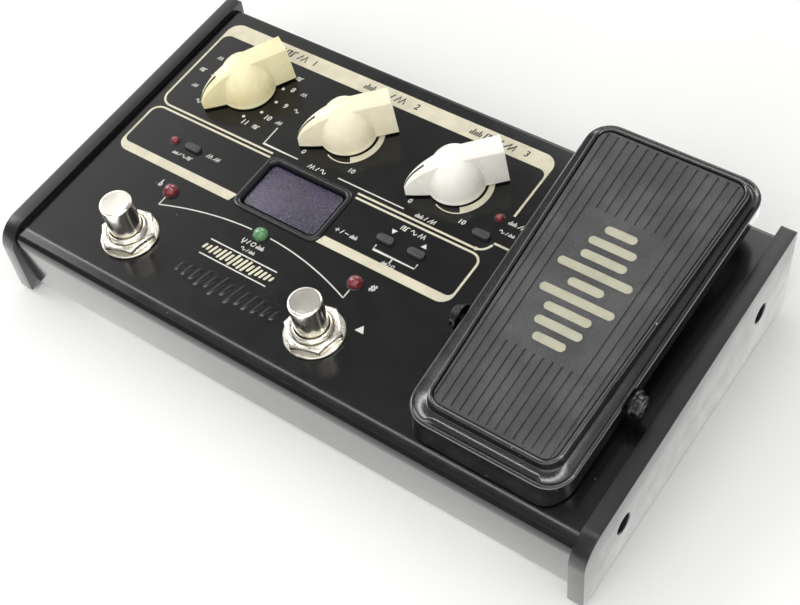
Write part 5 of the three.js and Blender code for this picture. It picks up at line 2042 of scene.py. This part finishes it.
@dataclass
class BackPanel:
    """Sockets, power inlet and power switch on the back wall, with signs beside them."""

    finishes: Finishes
    trees: Trees
    wall: float = 61.4
    height: float = 14.0
    bore: float = 3.25
    bushing: float = 4.6
    across_flats: float = 12.5

    def socket(self, name: str) -> None:
        """A 6.35 mm socket: body inside the case, threaded sleeve through the wall, hexagon nut."""
        low, high = ROW.box(name)
        place = ROW.at(ROW.centre(name)[0], self.wall, self.height).facing("X", -math.pi / 2)
        inside = -1.9
        half = (high.x - low.x) / 2
        deep = low.y - self.wall
        can = eased(made(f"{name}_can", block((-half, -half, deep), (half, half, inside))), 0.5)
        worked(can, round_bar(self.bore, deep + 2, 5))
        fitted(can, place, self.finishes.plastic, "case", "black_plastic")
        top = high.y - self.wall
        fine = int((top - 0.3 - inside) / 0.1)
        skin = [(self.bushing, inside + (top - 0.3 - inside) * i / fine) for i in range(fine + 1)]
        profile = [
            (self.bore, inside), *skin, (self.bushing - 0.3, top), (self.bore + 0.35, top),
            (self.bore, top - 0.35),
        ]
        sleeve = made(f"{name}_sleeve", ring(profile, 64))
        grown(
            sleeve, self.trees.thread, self.finishes.plastic, Radius=self.bushing, Depth=0.3, Pitch=0.8,
            From=-1.8, To=top - 0.35,
        )
        fitted(sleeve, place, self.finishes.plastic, "case", "black_plastic", [name], 50)
        self.nut(name, place)

    def nut(self, name: str, place: Place) -> None:
        """The socket's hexagon nut."""
        low, high = place.box(f"{name}_nut")
        corner, flat = self.across_flats / math.sqrt(3), self.across_flats / 2
        nut = made(f"{name}_hexagon", prism(hexagon(self.across_flats), low.z, high.z))
        cone = [
            (0, low.z - 0.01), (corner + 0.1, low.z - 0.01), (corner + 0.1, high.z - 0.55),
            (flat - 0.2, high.z + 0.01), (0, high.z + 0.01),
        ]
        worked(nut, lathe(cone, 64), Work.KEEP)
        worked(nut, round_bar(self.bushing + 0.25, low.z - 1, high.z + 1, 48))
        eased(nut, 0.08, 2, 38)
        fitted(nut, place, self.finishes.nickel, "case", "nickel", [f"{name}_nut"], 26)

    def inlet(self) -> None:
        """The power inlet with its round mouth and centre pin."""
        low, high = ROW.box("dc_inlet")
        x, _, z = ROW.centre("dc_inlet")
        place = ROW.at(x, high.y, z).facing("X", -math.pi / 2)
        half_x, half_z = (high.x - low.x) / 2, (high.z - low.z) / 2
        deep = low.y - high.y
        body = made("dc_inlet_body", block((-half_x, -half_z, deep), (half_x, half_z, 0)))
        eased(body, 0.5, 3)
        worked(body, lathe([(0, deep + 3), (2.9, deep + 3), (2.9, -0.5), (3.5, 0.1), (0, 0.1)], 48))
        fitted(body, place, self.finishes.plastic, "case", "black_plastic", ["dc_inlet"], 35)
        pin = lathe([(0, deep + 2), (1.0, deep + 2), (1.0, -2.1), (0.75, -1.6), (0.3, -1.5), (0, -1.5)], 32)
        fitted(made("dc_inlet_pin", pin), place, self.finishes.nickel, "case", "nickel")

    def lever(self) -> None:
        """The ribbed thumb piece of the slide switch."""
        low, high = ROW.box("power_switch_lever")
        width, depth = high.x - low.x, high.z - low.z
        x, _, z = ROW.centre("power_switch_lever")
        place = ROW.at(x, low.y, z).facing("X", -math.pi / 2)
        tall = high.y - low.y
        grip = eased(
            made("power_lever_grip", block((-width / 2, -depth / 2, 0), (width / 2, depth / 2, tall))), 0.2
        )
        ribs = made("ribs", Shape())
        grown(
            ribs, self.trees.bars, self.finishes.plastic, Count=4, Pitch=0.85, Length=4.0, Width=0.35,
            Height=0.7,
        )
        worked(grip, shape_of(ribs).shifted(0, 0, tall))
        fitted(grip, place, self.finishes.plastic, "power_lever", "black_plastic", ["power_switch_lever"], 30)

    def signs(self) -> None:
        """Small signs over each fitting, printed on the back wall."""
        press = Press()
        spots = []
        for name, sign in (("input_jack", Sign.DOWN), ("output_jack", Sign.UP)):
            spots.append(([Sign.SINE, sign], ROW.centre(name)[0]))
        spots.append(([Sign.MINUS, Sign.RING, Sign.PLUS], ROW.centre("dc_inlet")[0]))
        spots.append(([Sign.POWER], ROW.centre("power_switch_lever")[0] + LEVER_HALF_TRAVEL))
        shapes = [press.signs(signs, -x, 11.5, 2.8, 0.18, 0.0) for signs, x in spots]
        place = ROW.at(0, self.wall, self.height).facing("Z", math.pi).facing("X", math.pi / 2)
        fitted(
            made("print_back_signs", gathered(shapes)), place, self.finishes.pale, "case", "black_paint",
            crease=60,
        )

    def build(self) -> None:
        """Everything on the back wall."""
        for name in ("input_jack", "output_jack"):
            self.socket(name)
        self.inlet()
        self.lever()
        self.signs()


# ---- carried-over nodes and studio


@dataclass
class InnerWorks:
    """Finishes for the CAD parts that stay as they are."""

    finishes: Finishes

    def build(self) -> None:
        """Dresses each CAD node that still shows."""
        kinds = {
            "zinc": [
                "bottom_plate", "selector_switch", "gain_potentiometer", "level_potentiometer",
                "selector_shaft", "gain_shaft", "level_shaft", "pivot_axle", "pivot_bracket", "power_switch",
            ],
            "nylon": ["sector_gear", "pot_pinion"],
            "plastic": ["battery_box", "display_module", "expression_potentiometer"],
            "board": ["main_board"],
        }
        for finish, names in kinds.items():
            for name in names:
                node = frame["nodes"][name]
                node.data.materials.clear()
                node.data.materials.append(getattr(self.finishes, finish))
                LOG.info("%s keeps its shape, in %s", name, finish)


@dataclass
class Studio:
    """Pale floor, soft lights and the camera."""

    lens: float = 61.493
    camera_at: tuple[float, float, float] = (0.19762, -0.21614, 0.36485)
    camera_turn: tuple[float, float, float] = (38.1525, 5.1252, 35.2273)
    floor_half: float = 3.0
    floor_glow: float = 1.6
    room: float = 0.95
    room_in_reflections: float = 0.4
    panels: tuple = (
        ((-0.16, 0.78, 0.6), 22.0, 4.2),
        ((-0.9, 0.35, 0.4), 34.0, 1.6),
        ((0.5, -0.6, 0.6), 45.0, 1.2),
    )
    streaks: tuple = ((0.085, 0.045, 13.0), (-0.34, 0.03, 2.0))

    def floor(self) -> None:
        """A wide pale floor, bright in reflections, that can be seen through from beneath."""
        half = self.floor_half
        mesh = bpy.data.meshes.new("studio_floor")
        mesh.from_pydata(
            [(-half, -half, 0), (half, -half, 0), (half, half, 0), (-half, half, 0)], [], [(0, 1, 2, 3)]
        )
        floor = linked("studio_floor", mesh)
        skin = Surface("studio_floor", 0.9)
        glossy = skin.node("ShaderNodeLightPath", {}).outputs["Is Glossy Ray"]
        oval = {0: skin.where, 1: (1.0, 1.7, 1.0)}
        apart = skin.node("ShaderNodeVectorMath", oval, operation="MULTIPLY").outputs[0]
        far = skin.node("ShaderNodeVectorMath", {0: apart}, operation="LENGTH").outputs["Value"]
        skin.set("Specular IOR Level", 0.0)
        skin.set("Emission Color", (1.0, 0.995, 0.98, 1.0))
        # Painted shade: the floor's glow, seen only in reflections, fades to nothing within an oval round the
        # object.
        skin.links.new(
            skin.times(glossy, skin.step(far, 0.05, 0.13, 0.0, self.floor_glow)),
            skin.bsdf.inputs["Emission Strength"],
        )
        tone = skin.blend(
            skin.step(skin.noise(400.0, 2.0), 0.3, 0.7), (0.84, 0.84, 0.835), (0.88, 0.88, 0.875)
        )
        paper = skin.finished(tone)
        clear = skin.node("ShaderNodeBsdfTransparent", {}).outputs[0]
        below = skin.node("ShaderNodeNewGeometry", {}).outputs["Backfacing"]
        sided = skin.node("ShaderNodeMixShader", {0: below, 1: skin.bsdf.outputs[0], 2: clear})
        skin.links.new(sided.outputs[0], skin.nodes["Material Output"].inputs["Surface"])
        mesh.materials.append(paper)

    def area(self, name: str, at: Sequence[float], size: Flat, power: float, mirrored: bool = True) -> None:
        """A rectangular soft light that faces the object; mirrored lights show in glossy surfaces."""
        light = bpy.data.lights.new(name, "AREA")
        light.shape = "RECTANGLE"
        light.size, light.size_y = size
        light.energy = power
        lamp = linked(name, light)
        lamp.location = at
        lamp.rotation_euler = (Vector((0, -0.02, 0.02)) - Vector(at)).to_track_quat("-Z", "Y").to_euler()
        lamp.visible_glossy = mirrored

    def sky(self) -> None:
        """A bright even room for soft light, with a calmer picture of it in reflections."""
        world = bpy.data.worlds.new("studio_room")
        world.use_nodes = True
        nodes, links = world.node_tree.nodes, world.node_tree.links
        node = partial(wired, world.node_tree)
        where = nodes.new("ShaderNodeTexCoord").outputs["Generated"]
        level = node("ShaderNodeValue", {}).outputs[0]
        level.default_value = self.room_in_reflections
        for (x, y, z), spread, strength in self.panels:
            toward = Vector((x, y, z)).normalized()
            dot = node(
                "ShaderNodeVectorMath", {0: where, 1: tuple(toward)}, operation="DOT_PRODUCT"
            ).outputs["Value"]
            edge = {
                "Value": dot, 1: math.cos(spread * DEG), 2: math.cos(spread * 0.45 * DEG), 3: 0.0, 4: strength
            }
            panel = node("ShaderNodeMapRange", edge, interpolation_type="SMOOTHSTEP").outputs[0]
            level = node("ShaderNodeMath", {0: level, 1: panel}, operation="ADD").outputs[0]
        parts = node("ShaderNodeSeparateXYZ", {0: where}).outputs
        upper = node("ShaderNodeMapRange", {"Value": parts[2], 1: 0.45, 2: 0.6}).outputs[0]
        for y, half, strength in self.streaks:
            off = node("ShaderNodeMath", {0: parts[1], 1: y}, operation="SUBTRACT").outputs[0]
            off = node("ShaderNodeMath", {0: off}, operation="ABSOLUTE").outputs[0]
            edge = {"Value": off, 1: half, 2: half * 0.4, 3: 0.0, 4: strength}
            streak = node("ShaderNodeMapRange", edge, interpolation_type="SMOOTHSTEP").outputs[0]
            streak = node("ShaderNodeMath", {0: streak, 1: upper}, operation="MULTIPLY").outputs[0]
            level = node("ShaderNodeMath", {0: level, 1: streak}, operation="ADD").outputs[0]
        glossy = nodes.new("ShaderNodeLightPath").outputs["Is Glossy Ray"]
        shown = node("ShaderNodeMix", {0: glossy, 2: self.room, 3: level}).outputs[0]
        back = nodes["Background"]
        back.inputs[0].default_value = (1.0, 0.995, 0.98, 1.0)
        links.new(shown, back.inputs[1])
        bpy.context.scene.world = world

    def camera(self) -> None:
        """The camera with its lens and pose."""
        data = bpy.data.cameras.new("studio_camera")
        data.lens = self.lens
        data.sensor_width = 36.0
        data.clip_start = 0.01
        camera = linked("studio_camera", data)
        camera.location = self.camera_at
        camera.rotation_euler = [a * DEG for a in self.camera_turn]
        bpy.context.scene.camera = camera

    def build(self) -> None:
        """Floor, room, lights and camera."""
        self.floor()
        self.sky()
        self.area("key", (-1.15, -0.2, 1.0), (0.5, 0.5), 4.5)
        self.area("front_fill", (0.15, -1.15, 0.95), (1.0, 1.0), 8.5, False)
        bpy.context.scene.view_settings.view_transform = "Standard"
        self.camera()


def main() -> None:
    """Builds each sub-assembly, then the studio."""
    logging.basicConfig(level=logging.INFO, format="%(message)s")
    finishes, trees = Finishes(), Trees()
    assemblies = [
        CoverShell(finishes),
        EndCaps(finishes, trees),
        Underside(finishes, trees),
        PanelPrint(finishes, trees),
        PointerKnobs(finishes),
        Footswitches(finishes, trees),
        Lamps(finishes),
        PushButtons(finishes),
        Display(finishes),
        Treadle(finishes, trees),
        BackPanel(finishes, trees),
        InnerWorks(finishes),
        Studio(),
    ]
    for assembly in assemblies:
        LOG.info("--- %s", type(assembly).__name__)
        assembly.build()


if __name__ == "__main__":
    main()
